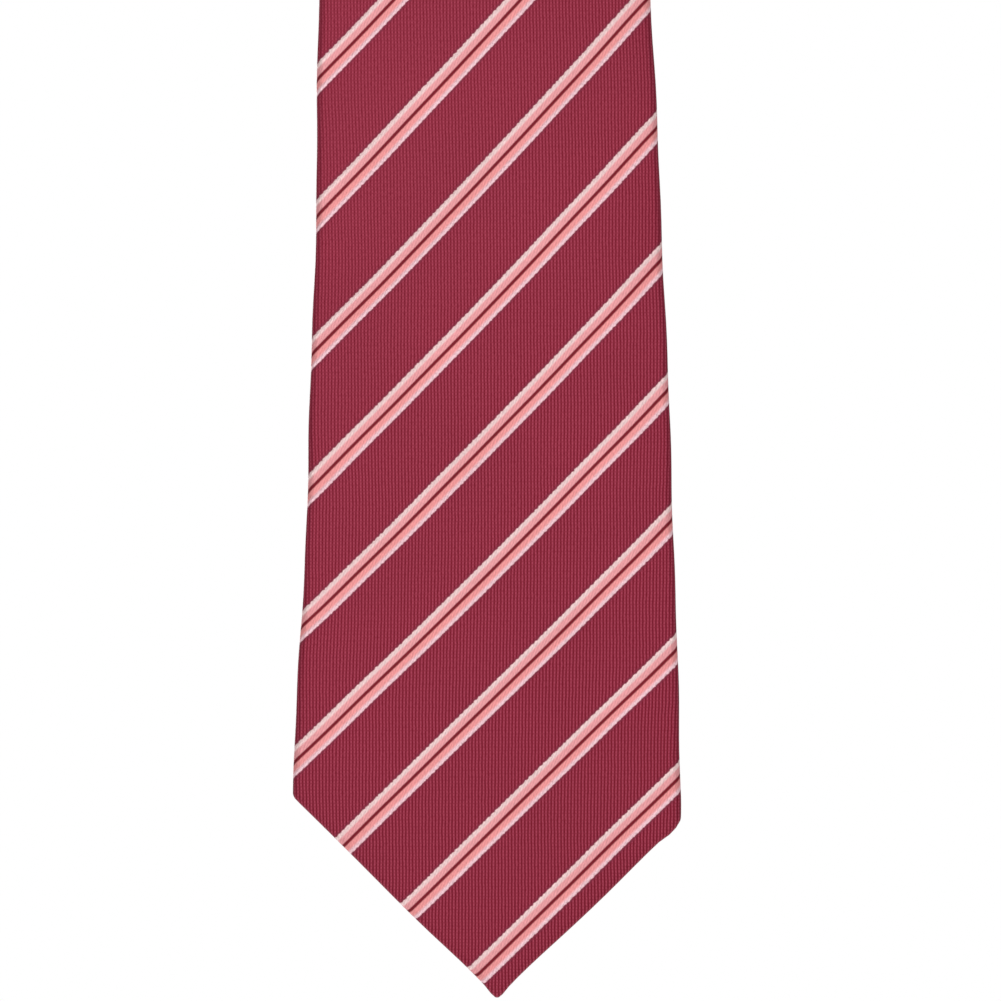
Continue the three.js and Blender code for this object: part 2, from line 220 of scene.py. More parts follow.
@dataclass(frozen=True)
class Tie:
    """The whole tie: its finished outline, where it is sewn, and how it hangs."""

    length: float = 1.470
    front_drop: float = 0.880  # front tip to the bar's axis
    # distance along the tie and the full width there
    widths: tuple[tuple[float, float], ...] = (
        (0.045, 0.0889),
        (0.137, 0.0819),
        (0.230, 0.0757),
        (0.470, 0.0610),
        (0.740, 0.0465),
        (0.880, 0.0390),
        (1.110, 0.0365),
        (1.449, 0.0410),
    )
    front_join: float = 0.818  # where the front and neck cloths are sewn together
    tail_join: float = 1.045
    join_slope: float = 0.45  # the joins run across on the bias
    join_reach: float = 0.070  # how far the rows lean with a join
    over_edge: float = -1 * MM  # the two flap edges of the centre back seam
    under_edge: float = 7 * MM
    lap_step: float = 3 * MM
    lean: float = 0.6 * MM  # how far the blade drifts to the left on its way up
    lean_length: float = 0.230
    bow: float = 0.95 * MM  # and a slight bow to the right below that
    bow_middle: float = 0.142
    bow_reach: float = 0.070
    edge_waves: tuple[Wave, ...] = (Wave(0.16 * MM, 0.0109, phase=1.3), Wave(0.10 * MM, 0.0043, 0.011125))
    face_waves: tuple[Wave, ...] = (Wave(0.30 * MM, 0.029, 0.021), Wave(0.16 * MM, 0.0127, -0.016, 1.0))
    full_side: float = 0.0445  # how far out the edge waves are full size
    pressed: float = 0.013  # how far to each side the bar holds the tie flat
    free: float = 0.080  # and from there to where the face waves are full size

    @property
    def bend_radius(self) -> float:
        """Radius of the interlining's middle over the bar, from the frame."""
        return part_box("neck_shell")[1].z - LAYERS.face_out

    @property
    def back_start(self) -> float:
        """Distance along the tie where the tail leaves the bar."""
        return self.front_drop + math.pi * self.bend_radius

    def half_width(self, s: np.ndarray) -> np.ndarray:
        """Half the finished width at s, on a smooth curve through the widths.

        Args:
            s: Distances along the tie.

        Returns:
            Half widths, in metres.
        """
        at, width = (np.array(column) for column in zip(*self.widths, strict=True))
        slope = np.gradient(width, at)
        slope[0], slope[-1] = (width[1] - width[0]) / (at[1] - at[0]), 0.0
        s = np.clip(s, at[0], at[-1])
        i = np.clip(np.searchsorted(at, s, side="right") - 1, 0, len(at) - 2)
        span = at[i + 1] - at[i]
        t = (s - at[i]) / span
        return 0.5 * (
            width[i] * (1 + 2 * t) * (1 - t) ** 2
            + slope[i] * span * t * (1 - t) ** 2
            + width[i + 1] * t**2 * (3 - 2 * t)
            + slope[i + 1] * span * t**2 * (t - 1)
        )

    def bias(self, s: np.ndarray, u: np.ndarray) -> np.ndarray:
        """Lean rows near a join, so that the join crosses the cloth on the bias.

        Args:
            s: Distances along the tie.
            u: Distances across the flat cut.

        Returns:
            The distances along, leaned.
        """
        for join in (self.front_join, self.tail_join):
            share = smooth(1 - np.abs(s - join) / self.join_reach)
            s = s + self.join_slope * u * share
        return s

    def settle(self, x: np.ndarray, s: np.ndarray, n: np.ndarray) -> np.ndarray:
        """Give points of the flat tie the slight waves of cloth that hangs.

        Args:
            x: Distances across.
            s: Distances along.
            n: Heights above the interlining's middle.

        Returns:
            Points x, s, n of the flat tie, one row each.
        """
        x, s, n = np.broadcast_arrays(*(np.asarray(v, float) for v in (x, s, n)))
        flutter = sum(wave.at(x, s) for wave in self.edge_waves) * x / self.full_side
        sway = self.bow * np.exp(-(((s - self.bow_middle) / self.bow_reach) ** 4))
        sway = sway - self.lean * smooth(s / self.lean_length)
        from_bar = np.abs(s - (self.front_drop + self.back_start) / 2) - self.pressed
        ripple = sum(wave.at(x, s) for wave in self.face_waves) * smooth(from_bar / self.free)
        return np.stack([x + flutter + sway, s, n + ripple], axis=-1)


TIE = Tie()


@dataclass(frozen=True)
class StripePlan:
    """Where the woven stripes cross the flat cut.

    The cloth is cut on the bias and eased a little while it is sewn, so the stripes
    are not quite straight or evenly spaced near the front tip.
    """

    first: float = 7.4 * MM  # the lowest stripe on the centre line
    pitch: float = 30.4 * MM  # measured up the centre line
    across: float = 21.3 * MM  # measured square to the stripe
    low_slope: float = 0.976
    high_slope: float = 1.064
    eased_from: float = -0.013
    eased_to: float = 0.267
    bow: float = 0.56  # per metre
    bow_side: float = 0.05  # how far out the bow goes on growing
    bowed_from: float = 0.128
    crowding: float = 1.2 * MM
    crowded: float = 0.224

    def number(self, u: np.ndarray, v: np.ndarray, shift: float = 0.0) -> np.ndarray:
        """The stripe number at points of the cut, whole at a stripe's middle.

        Args:
            u: Distances across the cut.
            v: Distances along the cut, from the front tip.
            shift: Stripe numbers to add, since each length is cut on its own.

        Returns:
            Stripe numbers.
        """
        base = v - u
        share = smooth((base - self.eased_from) / (self.eased_to - self.eased_from))
        slope = mix(self.low_slope, self.high_slope, share)
        bow = self.bow * smooth(base / self.bowed_from)
        centre = v - slope * u - bow * np.clip(u, -self.bow_side, self.bow_side) ** 2
        turn = np.clip((centre - self.first) / self.crowded, 0, 1)
        return (centre - self.first + self.crowding * np.sin(math.pi * turn)) / self.pitch + shift


STRIPES = StripePlan()


# ---------------------------------------------------------------- node trees


class Nodes:
    """Writes the nodes of one tree."""

    def __init__(self, tree: bpy.types.NodeTree) -> None:
        """Keep the tree."""
        self.tree = tree

    def node(self, kind: str, inputs: dict[str | int, Any] | None = None, **settings: Any) -> bpy.types.Node:
        """Add a node.

        Args:
            kind: The node's type.
            inputs: Values or output sockets for its inputs.
            **settings: Properties of the node.

        Returns:
            The node.
        """
        made = self.tree.nodes.new(kind)
        for key, value in settings.items():
            setattr(made, key, value)
        for key, value in (inputs or {}).items():
            if isinstance(value, bpy.types.NodeSocket):
                self.tree.links.new(value, made.inputs[key])
            else:
                made.inputs[key].default_value = value
        return made

    def math(self, operation: str, *values: Any, clamp: bool = False) -> bpy.types.NodeSocket:
        """A sum or function of values or sockets."""
        inputs = dict(enumerate(values))
        return self.node("ShaderNodeMath", inputs, operation=operation, use_clamp=clamp).outputs[0]

    def vector(self, x: Any = 0.0, y: Any = 0.0, z: Any = 0.0) -> bpy.types.NodeSocket:
        """A vector of three values or sockets."""
        return self.node("ShaderNodeCombineXYZ", {0: x, 1: y, 2: z}).outputs[0]


class GeometryTree(Nodes):
    """A geometry node tree with named inputs for its sizes."""

    INPUTS: tuple[tuple[str, str], ...] = ()

    def __init__(self, name: str) -> None:
        """Make the tree's sockets and write its nodes.

        Args:
            name: The tree's name.
        """
        super().__init__(bpy.data.node_groups.new(name, "GeometryNodeTree"))
        face = self.tree.interface
        face.new_socket(name="Work", in_out="INPUT", socket_type="NodeSocketGeometry")
        face.new_socket(name="Result", in_out="OUTPUT", socket_type="NodeSocketGeometry")
        self.sockets = {}
        for label, kind in self.INPUTS:
            self.sockets[label] = face.new_socket(name=label, in_out="INPUT", socket_type=kind).identifier
        self.write()

    def write(self) -> None:
        """Write the tree's nodes."""
        raise NotImplementedError

    def end(self, shape: bpy.types.NodeSocket, finish: bpy.types.NodeSocket) -> None:
        """Close the tree: make its copies real and give them their material.

        Args:
            shape: The finished geometry.
            finish: The material.
        """
        real = self.node("GeometryNodeRealizeInstances", {0: shape})
        dyed = self.node("GeometryNodeSetMaterial", {"Geometry": real.outputs[0], "Material": finish})
        self.node("NodeGroupOutput", {0: dyed.outputs[0]})

    def put_on(self, obj: bpy.types.Object, values: tuple[Any, ...]) -> None:
        """Add the tree to an object.

        Args:
            obj: The object.
            values: The values of the tree's inputs, in order.
        """
        nodes = obj.modifiers.new(self.tree.name, "NODES")
        nodes.node_group = self.tree
        for (label, _), value in zip(self.INPUTS, values, strict=True):
            nodes[self.sockets[label]] = value


class HangTree(GeometryTree):
    """The node tree that hangs flat work over the bar, which gives the tie its shape."""

    INPUTS = (
        ("Drop", "NodeSocketFloat"),
        ("Bend Radius", "NodeSocketFloat"),
        ("Finish", "NodeSocketMaterial"),
    )

    def write(self) -> None:
        """Write the tree: straight up in front, half round the bar, straight down behind."""
        given = self.node("NodeGroupInput").outputs
        place = self.node("GeometryNodeInputPosition").outputs[0]
        across, along, height = self.node("ShaderNodeSeparateXYZ", {0: place}).outputs
        past = self.math("SUBTRACT", along, given["Drop"])
        turn = self.math("DIVIDE", past, given["Bend Radius"])
        turn = self.math("MINIMUM", self.math("MAXIMUM", turn, 0.0), math.pi)
        on_bar = self.math("MULTIPLY", turn, given["Bend Radius"])
        below = self.math("ABSOLUTE", self.math("SUBTRACT", past, on_bar))
        out = self.math("ADD", given["Bend Radius"], height)
        y = self.math("MULTIPLY", self.math("COSINE", turn), self.math("MULTIPLY", out, -1.0))
        z = self.math("SUBTRACT", self.math("MULTIPLY", self.math("SINE", turn), out), below)
        hung = {"Geometry": given["Work"], "Position": self.vector(across, y, z)}
        self.end(self.node("GeometryNodeSetPosition", hung).outputs[0], given["Finish"])


HANG = HangTree("hang over the bar")


def hang(obj: bpy.types.Object, finish: bpy.types.Material | None = None) -> None:
    """Hang an object's flat work over the bar."""
    HANG.put_on(obj, (TIE.front_drop, TIE.bend_radius, finish))


# ---------------------------------------------------------------- mesh helpers


@dataclass
class Sheet:
    """A cloth's middle surface on the flat tie: points, quads and flat cut."""

    x: np.ndarray
    s: np.ndarray
    n: np.ndarray
    cut: np.ndarray
    faces: list[tuple[int, ...]]

    def make(
        self,
        name: str,
        finish: bpy.types.Material,
        slot: Slot,
        thickness: float,
        stripe: np.ndarray | None = None,
    ) -> bpy.types.Object:
        """Hang the cloth, give it its thickness, and dress it.

        Args:
            name: The piece's name.
            finish: Its material.
            slot: Not used.
            thickness: The cloth's thickness, in metres.
            stripe: The stripe number at each point, if the cloth is striped.

        Returns:
            The cloth.
        """
        obj = mesh_object(name, TIE.settle(self.x, self.s, self.n), faces=self.faces)
        set_cut(obj, self.cut, stripe)
        hang(obj, finish)
        thicken(obj, thickness)
        dress(obj, finish)
        LOG.info("%s: %d faces, cut %.3f by %.3f m", name, len(obj.data.polygons), *self.size())
        return obj

    def area(self) -> float:
        """The area of the flat cut.

        Returns:
            Square metres.
        """
        here = self.cut[np.array(self.faces)]
        after = np.roll(here, -1, axis=1)
        cross = here[..., 0] * after[..., 1] - after[..., 0] * here[..., 1]
        return float(np.abs(cross.sum(axis=1)).sum()) / 2

    def size(self) -> tuple[float, float]:
        """The flat cut's width and length, in metres."""
        width, length = np.ptp(self.cut, axis=0)
        return float(width), float(length)


def numbered(rows: int, columns: int) -> np.ndarray:
    """The numbers of a grid of points, row by row."""
    return np.arange(rows * columns).reshape(rows, columns)


def quads(grid: np.ndarray) -> list[tuple[int, ...]]:
    """The faces between the points of a grid.

    Args:
        grid: The number of each point, in rows.

    Returns:
        One tuple of four point numbers for each face.
    """
    around = (grid[:-1, :-1], grid[:-1, 1:], grid[1:, 1:], grid[1:, :-1])
    return [tuple(face) for face in np.stack(around, axis=-1).reshape(-1, 4).tolist()]


def mesh_object(
    name: str,
    points: np.ndarray,
    edges: list[tuple[int, int]] | None = None,
    faces: list[tuple[int, ...]] | None = None,
) -> bpy.types.Object:
    """Make a smooth-shaded mesh object at the origin.

    Args:
        name: The piece's name.
        points: The points, one row each.
        edges: Point numbers of each loose edge.
        faces: Point numbers of each face.

    Returns:
        The new object, in the scene.
    """
    mesh = bpy.data.meshes.new(name)
    mesh.from_pydata(np.asarray(points, float).tolist(), edges or [], faces or [])
    mesh.polygons.foreach_set("use_smooth", np.ones(len(mesh.polygons), bool))
    mesh.update()
    made = bpy.data.objects.new(name, mesh)
    bpy.context.scene.collection.objects.link(made)
    return made


def line_object(name: str, points: np.ndarray) -> bpy.types.Object:
    """Make a mesh object of one open line through points."""
    return mesh_object(name, points, edges=[(i, i + 1) for i in range(len(points) - 1)])


def hung_points(points: np.ndarray) -> np.ndarray:
    """Where the points of a flat line come to lie once the tie hangs.

    Args:
        points: Points x, s, n of the flat tie, one row each.

    Returns:
        Points in the row frame, one row each.
    """
    line = line_object("line", points)
    hang(line)
    bake_mesh(line)
    found = np.array([vertex.co[:] for vertex in line.data.vertices])
    bpy.data.objects.remove(line)
    return found


def set_cut(obj: bpy.types.Object, cut: np.ndarray, stripe: np.ndarray | None = None) -> None:
    """Store the flat cut as a UV map and the stripe numbers as an attribute.

    Args:
        obj: The mesh object.
        cut: The cut's coordinates at each point.
        stripe: The stripe number at each point, if the cloth is striped.
    """
    mesh = obj.data
    corner = np.zeros(len(mesh.loops), np.int32)
    mesh.loops.foreach_get("vertex_index", corner)
    layer = mesh.uv_layers.new(name=UV_NAME)
    layer.data.foreach_set("uv", cut[corner].astype(np.float32).ravel())
    if stripe is not None:
        attribute = mesh.attributes.new(STRIPE, "FLOAT", "POINT")
        attribute.data.foreach_set("value", stripe.astype(np.float32))


def bake_mesh(obj: bpy.types.Object) -> None:
    """Replace an object's mesh by its evaluated mesh, without modifiers.

    Args:
        obj: The mesh object.
    """
    bpy.context.view_layer.update()
    graph = bpy.context.evaluated_depsgraph_get()
    made = bpy.data.meshes.new_from_object(obj.evaluated_get(graph), depsgraph=graph)
    obj.modifiers.clear()
    obj.data = made


def face_outward(obj: bpy.types.Object) -> None:
    """Turn every face of a closed mesh outwards.

    Args:
        obj: The mesh object.
    """
    bm = bmesh.new()
    bm.from_mesh(obj.data)
    bmesh.ops.recalc_face_normals(bm, faces=bm.faces[:])
    bm.to_mesh(obj.data)
    bm.free()


def thicken(obj: bpy.types.Object, thickness: float) -> None:
    """Give a middle surface its thickness, half to each side, and close its rim.

    Args:
        obj: The mesh object of the middle surface.
        thickness: The cloth's thickness, in metres.
    """
    solid = obj.modifiers.new("thickness", "SOLIDIFY")
    solid.thickness = thickness
    solid.offset = 0.0
    solid.use_even_offset = False
    solid.use_quality_normals = True
    bake_mesh(obj)
    face_outward(obj)


def dress(obj: bpy.types.Object, material: bpy.types.Material) -> None:
    """Give a piece its material.

    Args:
        obj: The piece.
        material: Its material.
    """
    obj.data.materials.clear()
    obj.data.materials.append(material)


class Bend(Enum):
    """The hinge lines that cloth crosses, by joint name."""

    FRONT = "front_blade_swing"
    TAIL = "tail_blade_swing"
    LABEL = "label_lift"

    @property
    def joint(self) -> dict[str, Any]:
        """The joint's entry in the frame."""
        return next(j for j in frame["joints"] if j["name"] == self.value)

    def cross(self, obj: bpy.types.Object, above: float = 35 * MM, below: float = 35 * MM) -> None:
        """Bake a piece's placement into its mesh; it is not bent across this hinge.

        Args:
            obj: The finished piece.
            above: Not used.
            below: Not used.
        """
        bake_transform(obj)


# ---------------------------------------------------------------- the folded outer cloth


@dataclass
class Section:
    """What goes round each edge: the fold, the flap, and the flap's turned-in edge."""

    folds: int = 8
    flap_steps: tuple[int, int, int] = (4, 4, 3)
    turns: int = 3
    turned_width: float = 3 * MM

    def columns(self) -> int:
        """How many points the section has, beyond the face's last one."""
        return self.folds + sum(self.flap_steps) + self.turns + 1

    def build(
        self, flap: np.ndarray, step: tuple[np.ndarray, np.ndarray], rise: np.ndarray
    ) -> tuple[np.ndarray, np.ndarray, np.ndarray]:
        """The section at each point of an edge.

        Args:
            flap: The flap's width there.
            step: How far in the flap starts and ends its climb onto the other flap.
            rise: How high it climbs.

        Returns:
            Distances in from the edge, heights, and distances along the cloth.
        """
        r, centre, gap = LAYERS.roll, LAYERS.roll_centre, LAYERS.turned
        count = len(flap)
        angle = math.pi * np.arange(1, self.folds + 1) / self.folds
        inward = [np.tile(r * (1 - np.sin(angle)), (count, 1))]
        height = [np.tile(centre + r * np.cos(angle), (count, 1))]
        marks = [np.full(count, r), step[0], step[1], flap]
        climb = [0.0, 0.0, 1.0, 1.0]
        for k, steps in enumerate(self.flap_steps):
            t = np.arange(1, steps + 1) / steps
            inward.append(mix(marks[k][:, None], marks[k + 1][:, None], t))
            height.append(LAYERS.flap - rise[:, None] * smooth(mix(climb[k], climb[k + 1], t)))
        turn = math.pi * np.arange(1, self.turns + 1) / self.turns
        last = height[-1][:, -1:]
        inward.append(flap[:, None] + gap / 2 * np.sin(turn))
        height.append(last + gap / 2 * (1 - np.cos(turn)))
        back = np.minimum(self.turned_width, 0.6 * (flap - r))
        inward.append((flap - back)[:, None])
        height.append(last + gap)
        inward, height = np.hstack(inward), np.hstack(height)
        first = np.tile([[r, LAYERS.face]], (count, 1))
        steps_in = np.diff(np.hstack([first[:, :1], inward]), axis=1)
        steps_up = np.diff(np.hstack([first[:, 1:], height]), axis=1)
        return inward, height, np.cumsum(np.hypot(steps_in, steps_up), axis=1)


@dataclass(frozen=True)
class Rim:
    """A finished edge, and the section that goes round it to the back."""

    edge: np.ndarray
    inward: np.ndarray  # the vector into the cloth at each point
    section: tuple[np.ndarray, ...]  # as Section builds it

    def face_edge(self) -> np.ndarray:
        """Where the flat face starts inside the edge."""
        return self.edge + LAYERS.roll * self.inward

    def wrap(self) -> list[np.ndarray]:
        """Put the section round each point of the edge, outwards from the face.

        Returns:
            x, distance along, height, and both coordinates in the flat cut.
        """
        into, height, run = self.section
        x, a = (self.edge[:, k : k + 1] + self.inward[:, k : k + 1] * into for k in (0, 1))
        u, v = (self.edge[:, k : k + 1] + self.inward[:, k : k + 1] * (LAYERS.roll - run) for k in (0, 1))
        return [x, a, height, u, v]


def rounded_corner(
    corner: np.ndarray, one: np.ndarray, two: np.ndarray, radius: float, at: np.ndarray
) -> np.ndarray:
    """Points of an edge near a softly rounded corner.

    Args:
        corner: The sharp corner.
        one: Unit vector from the corner along the first edge.
        two: Unit vector from the corner along the second edge.
        radius: How far the rounding reaches along each edge.
        at: Distances from the corner, negative on the first edge.

    Returns:
        One point for each distance.
    """
    along = np.where(at[:, None] < 0, -at[:, None] * one, at[:, None] * two)
    t = np.clip((at + radius) / (2 * radius), 0, 1)[:, None]
    curve = radius * (one * (1 - t) ** 2 + two * t**2)
    return corner + np.where(np.abs(at)[:, None] < radius, curve, along)


@dataclass
class FoldedCloth:
    """One sewn length of the outer cloth, folded round to the back and hemmed."""

    start: float
    stop: float
    end: PointedEnd | None = None
    from_tail: bool = False
    section: Section = field(default_factory=Section)
    face_columns: int = 36
    crown: float = 0.28 * MM  # how much lower the face lies at its edge
    crown_reach: float = 3.5 * MM
    groove: float = 0.22 * MM  # how far the cloth draws in at a joining seam
    groove_reach: float = 1.0 * MM
    plain_hem: float = 5 * MM
    close_rows: tuple[float, ...] = (0, 0.6, 1.4, 2.4, 3.8, 5.6, 7.8, 10.5, 13.5)  # millimetres
    fine_step: float = 3.2 * MM
    fine_rows: int = 32
    coarse_step: float = 4.8 * MM
    bend_step: float = 1.6 * MM
    end_reach: float = 14 * MM  # where the close rows stop, and where the rows stand square again
    settle_reach: float = 95 * MM  # where the rows no longer follow the pointed edge
    even: float = 0.55  # how evenly the face's columns are spaced if neither end is pointed
    under_climb: tuple[float, float] = (0.35, 0.7)  # where a flap climbs, as shares of its width
    hem_climb: tuple[float, float] = (0.4, 0.7)
    lap_climb: tuple[float, float] = (1.5, 0.5)  # where the upper flap climbs, in lap steps
    lap_from: float = 0.55  # the share of the closing where its climb moves to the lap
    rise_from: float = 0.5  # and where it starts to rise
    rise_over: float = 0.3

    @property
    def hem(self) -> float:
        """The hem's width."""
        return self.end.hem if self.end else self.plain_hem

    def along(self, s: np.ndarray) -> np.ndarray:
        """Distances from this length's own tip."""
        return TIE.length - s if self.from_tail else s

    def row_places(self) -> np.ndarray:
        """Place the rows, close together at both ends.

        Returns:
            Distances from the length's first row to each row.
        """
        total = self.stop - self.start
        near = np.array(self.close_rows) * MM
        fine = near[-1] + self.fine_step * np.arange(1, self.fine_rows + 1)
        coarse = np.arange(fine[-1] + self.coarse_step, total - self.end_reach, self.coarse_step)
        rows = np.concatenate([near, fine[fine < total - self.end_reach], coarse, total - near[::-1]])
        if self.end is None:
            on_bar = np.arange(TIE.front_drop, TIE.back_start, self.bend_step) - self.start
            rows = np.concatenate([rows, on_bar])
        return np.unique(np.round(rows, 6))

    def flap_plan(
        self, edge: np.ndarray, sign: int, closed: np.ndarray
    ) -> tuple[np.ndarray, tuple[np.ndarray, ...], np.ndarray]:
        """Plan the flap's width, where it climbs, and how high, at each row.

        Args:
            edge: x of the finished edge, both sides counted as positive.
            sign: -1 for the left flap, which lies under, and 1 for the right one.
            closed: 0 where the flaps are only a hem and 1 where they have met.

        Returns:
            Flap widths, the climb's start and end, and its height.
        """
        full = np.abs(edge - (TIE.under_edge if sign < 0 else TIE.over_edge))
        flap = mix(self.hem, full, closed)
        if sign < 0:
            return flap, tuple(mix(LAYERS.roll, flap, part) for part in self.under_climb), 0 * flap
        plain = (mix(LAYERS.roll, flap, part) for part in self.hem_climb)
        lapped = (edge - (TIE.under_edge + steps * TIE.lap_step) for steps in self.lap_climb)
        share = smooth((closed - self.lap_from) / (1 - self.lap_from))
        climb = (mix(low, high, share) for low, high in zip(plain, lapped, strict=True))
        rise = (LAYERS.flap - LAYERS.lap) * smooth((closed - self.rise_from) / self.rise_over)
        return flap, tuple(np.maximum(at, LAYERS.roll) for at in climb), rise

    def side_rim(self, sign: int, rows: np.ndarray) -> Rim:
        """Draw one side edge and fold its flap to the back.

        Args:
            sign: -1 for the left side and 1 for the right one.
            rows: Distances from the first row.

        Returns:
            The side's rim.
        """
        end = self.end
        low = self.start
        if end:
            low = end.left if sign < 0 else end.right
        a = low + rows * (self.stop - low) / (self.stop - self.start)
        half = TIE.half_width(self.along(a))
        edge = np.stack([sign * half, a], axis=1)
        lean, closed = np.zeros(len(rows)), np.ones(len(rows))
        if end:
            _, way = end.slant(sign, self.from_tail)
            slant = -way / np.linalg.norm(way)
            up = np.array([0.0, 1.0])
            radius = end.round_left if sign < 0 else end.round_right
            near = rows < radius
            edge[near] = rounded_corner(edge[0], up, slant, radius, -rows[near])
            half_turn = (math.pi - math.acos(float(slant @ up))) / 2
            lean = math.tan(half_turn) * (1 - smooth(rows / self.end_reach))
            closed = np.clip((a - low) / (end.flaps_meet - low), 0, 1)
        inward = np.stack([np.full(len(rows), -float(sign)), lean], axis=1)
        return Rim(edge, inward, self.section.build(*self.flap_plan(sign * half, sign, closed)))

    def slanted_edge(self, sign: int) -> tuple[np.ndarray, np.ndarray]:
        """Draw one pointed edge from the tip to its shoulder, with both corners rounded.

        Args:
            sign: -1 for the left edge and 1 for the right one.

        Returns:
            Points on the edge, and the unit vector square to it and into the cloth.
        """
        end = self.end
        tip, way = end.slant(sign, self.from_tail)
        shoulder = tip + way
        length = np.linalg.norm(way)
        way = way / length
        other = end.slant(-sign, self.from_tail)[1]
        other = other / np.linalg.norm(other)
        across = np.array([way[1], -way[0]]) * -sign
        distance = length * self.edge_share()
        hollow = end.hollow * np.exp(-(((distance - end.hollow_middle) / end.hollow_reach) ** 2))
        hollow = hollow * smooth(distance / end.hollow_from)
        puff, radius = (end.puff_left, end.round_left) if sign < 0 else (end.puff_right, end.round_right)
        left_over = length - distance
        puff = puff * np.exp(-(((left_over - end.puff_middle) / end.puff_reach) ** 2))
        edge = tip + distance[:, None] * way + (hollow - puff)[:, None] * across
        near = distance < end.round_tip
        edge[near] = rounded_corner(tip, way, other, end.round_tip, -distance[near])
        near = left_over < radius
        edge[near] = rounded_corner(shoulder, -way, np.array([0.0, 1.0]), radius, -left_over[near])
        return edge, across

    def edge_share(self) -> np.ndarray:
        """Shares of a pointed edge where its points lie, closest at both ends."""
        half = self.face_columns // 2
        return (1 - np.cos(math.pi * np.arange(half + 1) / half)) / 2

    def point_rim(self, sides: dict[int, Rim]) -> Rim:
        """Draw the pointed edge from shoulder to shoulder and fold its hem to the back.

        Args:
            sides: Both sides' rims, by sign.

        Returns:
            The pointed edge's rim.
        """
        ways = {sign: self.end.slant(sign, self.from_tail)[1] for sign in (-1, 1)}
        ways = {sign: way / np.linalg.norm(way) for sign, way in ways.items()}
        tip_lean = 1 / math.tan(math.acos(float(ways[-1] @ ways[1])) / 2)
        points, vectors = [], []
        for sign, order in ((-1, slice(None, None, -1)), (1, slice(1, None))):
            edge, across = self.slanted_edge(sign)
            shoulder_lean = float(sides[sign].inward[0] @ ways[sign])
            lean = mix(tip_lean, shoulder_lean, self.edge_share())
            vector = across + lean[:, None] * ways[sign]
            points.append(edge[order])
            vectors.append(vector[order])
        points, vectors = np.vstack(points), np.vstack(vectors)
        for k, sign in ((0, -1), (-1, 1)):
            points[k], vectors[k] = sides[sign].edge[0], sides[sign].inward[0]
        wide = np.full(len(points), self.hem)
        climb = tuple(mix(LAYERS.roll, wide, part) for part in self.hem_climb)
        return Rim(points, vectors, self.section.build(wide, climb, 0 * wide))

    def face(self, rows: np.ndarray, sides: dict[int, Rim], point: Rim | None) -> list[np.ndarray]:
        """Lay out the face between its two sides.

        Args:
            rows: Distances from the first row.
            sides: Both sides' rims, by sign.
            point: The pointed edge's rim.

        Returns:
            x, distance along, height, and both coordinates in the flat cut.
        """
        left, right = (sides[sign].face_edge() for sign in (-1, 1))
        if point:
            low = point.face_edge()
            share = (low[:, 0] - left[0, 0]) / (right[0, 0] - left[0, 0])
            sag = low[:, 1] - mix(left[0, 1], right[0, 1], share)
        else:
            even = np.arange(self.face_columns + 1) / self.face_columns
            share = mix((1 - np.cos(math.pi * even)) / 2, even, self.even)
            sag = 0 * share
        settle = 1 - smooth(rows / self.settle_reach)
        x = mix(left[:, :1], right[:, :1], share)
        a = mix(left[:, 1:], right[:, 1:], share) + settle[:, None] * sag
        return [x, a, np.full(x.shape, LAYERS.face), x, a]

    def hem_grid(self, grid: np.ndarray, count: int) -> np.ndarray:
        """Number the points of the hem along the pointed edge.

        Args:
            grid: The numbers of the cloth's other points, in rows.
            count: How many points the pointed edge has.

        Returns:
            The hem's point numbers. Its first column and both end rows are the cloth's own.
        """
        m = self.section.columns()
        hem = np.empty((count, m + 1), int)
        hem[:, 0] = grid[0, m : m + count]
        hem[0] = grid[0, m::-1]
        hem[-1] = grid[0, m + count - 1 :]
        hem[1:-1, 1:] = grid.size + numbered(count - 2, m)
        return hem

    def build(self) -> Sheet:
        """Fold the cloth.

        Returns:
            Its middle surface on the flat tie.
        """
        rows = self.row_places()
        sides = {sign: self.side_rim(sign, rows) for sign in (-1, 1)}
        point = self.point_rim(sides) if self.end else None
        under = [block[:, ::-1] for block in sides[-1].wrap()]
        blocks = zip(under, self.face(rows, sides, point), sides[1].wrap(), strict=True)
        x, a, n, u, v = (np.hstack(block) for block in blocks)
        from_join = rows[-1] - rows if self.end else np.minimum(rows, rows[-1] - rows)
        groove = self.groove * np.exp(-((from_join[:, None] / self.groove_reach) ** 2))
        n = n - np.sign(n - LAYERS.roll_centre) * groove
        grid = numbered(*x.shape)
        faces = quads(grid)
        x, a, n, u, v = (block.ravel() for block in (x, a, n, u, v))
        if point:
            faces += quads(self.hem_grid(grid, len(point.edge)))
            x, a, n, u, v = (
                np.concatenate([kept, block[1:-1].ravel()])
                for kept, block in zip((x, a, n, u, v), point.wrap(), strict=True)
            )
        n = n - self.crowned(x, a, n)
        s, t = self.along(a), self.along(v)
        lean = TIE.bias(t, u) - t
        return Sheet(x, s + lean, n, np.stack([u, t + lean], axis=1), faces)

    def crowned(self, x: np.ndarray, a: np.ndarray, n: np.ndarray) -> np.ndarray:
        """Plan how much lower the face lies near its edges than in its middle.

        Args:
            x: Distances across.
            a: Distances from this length's own tip.
            n: Heights.

        Returns:
            Distances to lower the points by.
        """
        on_face = n > LAYERS.face - 1e-9
        fade = np.exp(-((self.inside_distance(x, a) - LAYERS.roll) / self.crown_reach))
        round_fold = np.clip((n - LAYERS.roll_centre) / LAYERS.roll, 0, 1)
        return self.crown * np.where(on_face, fade, round_fold)

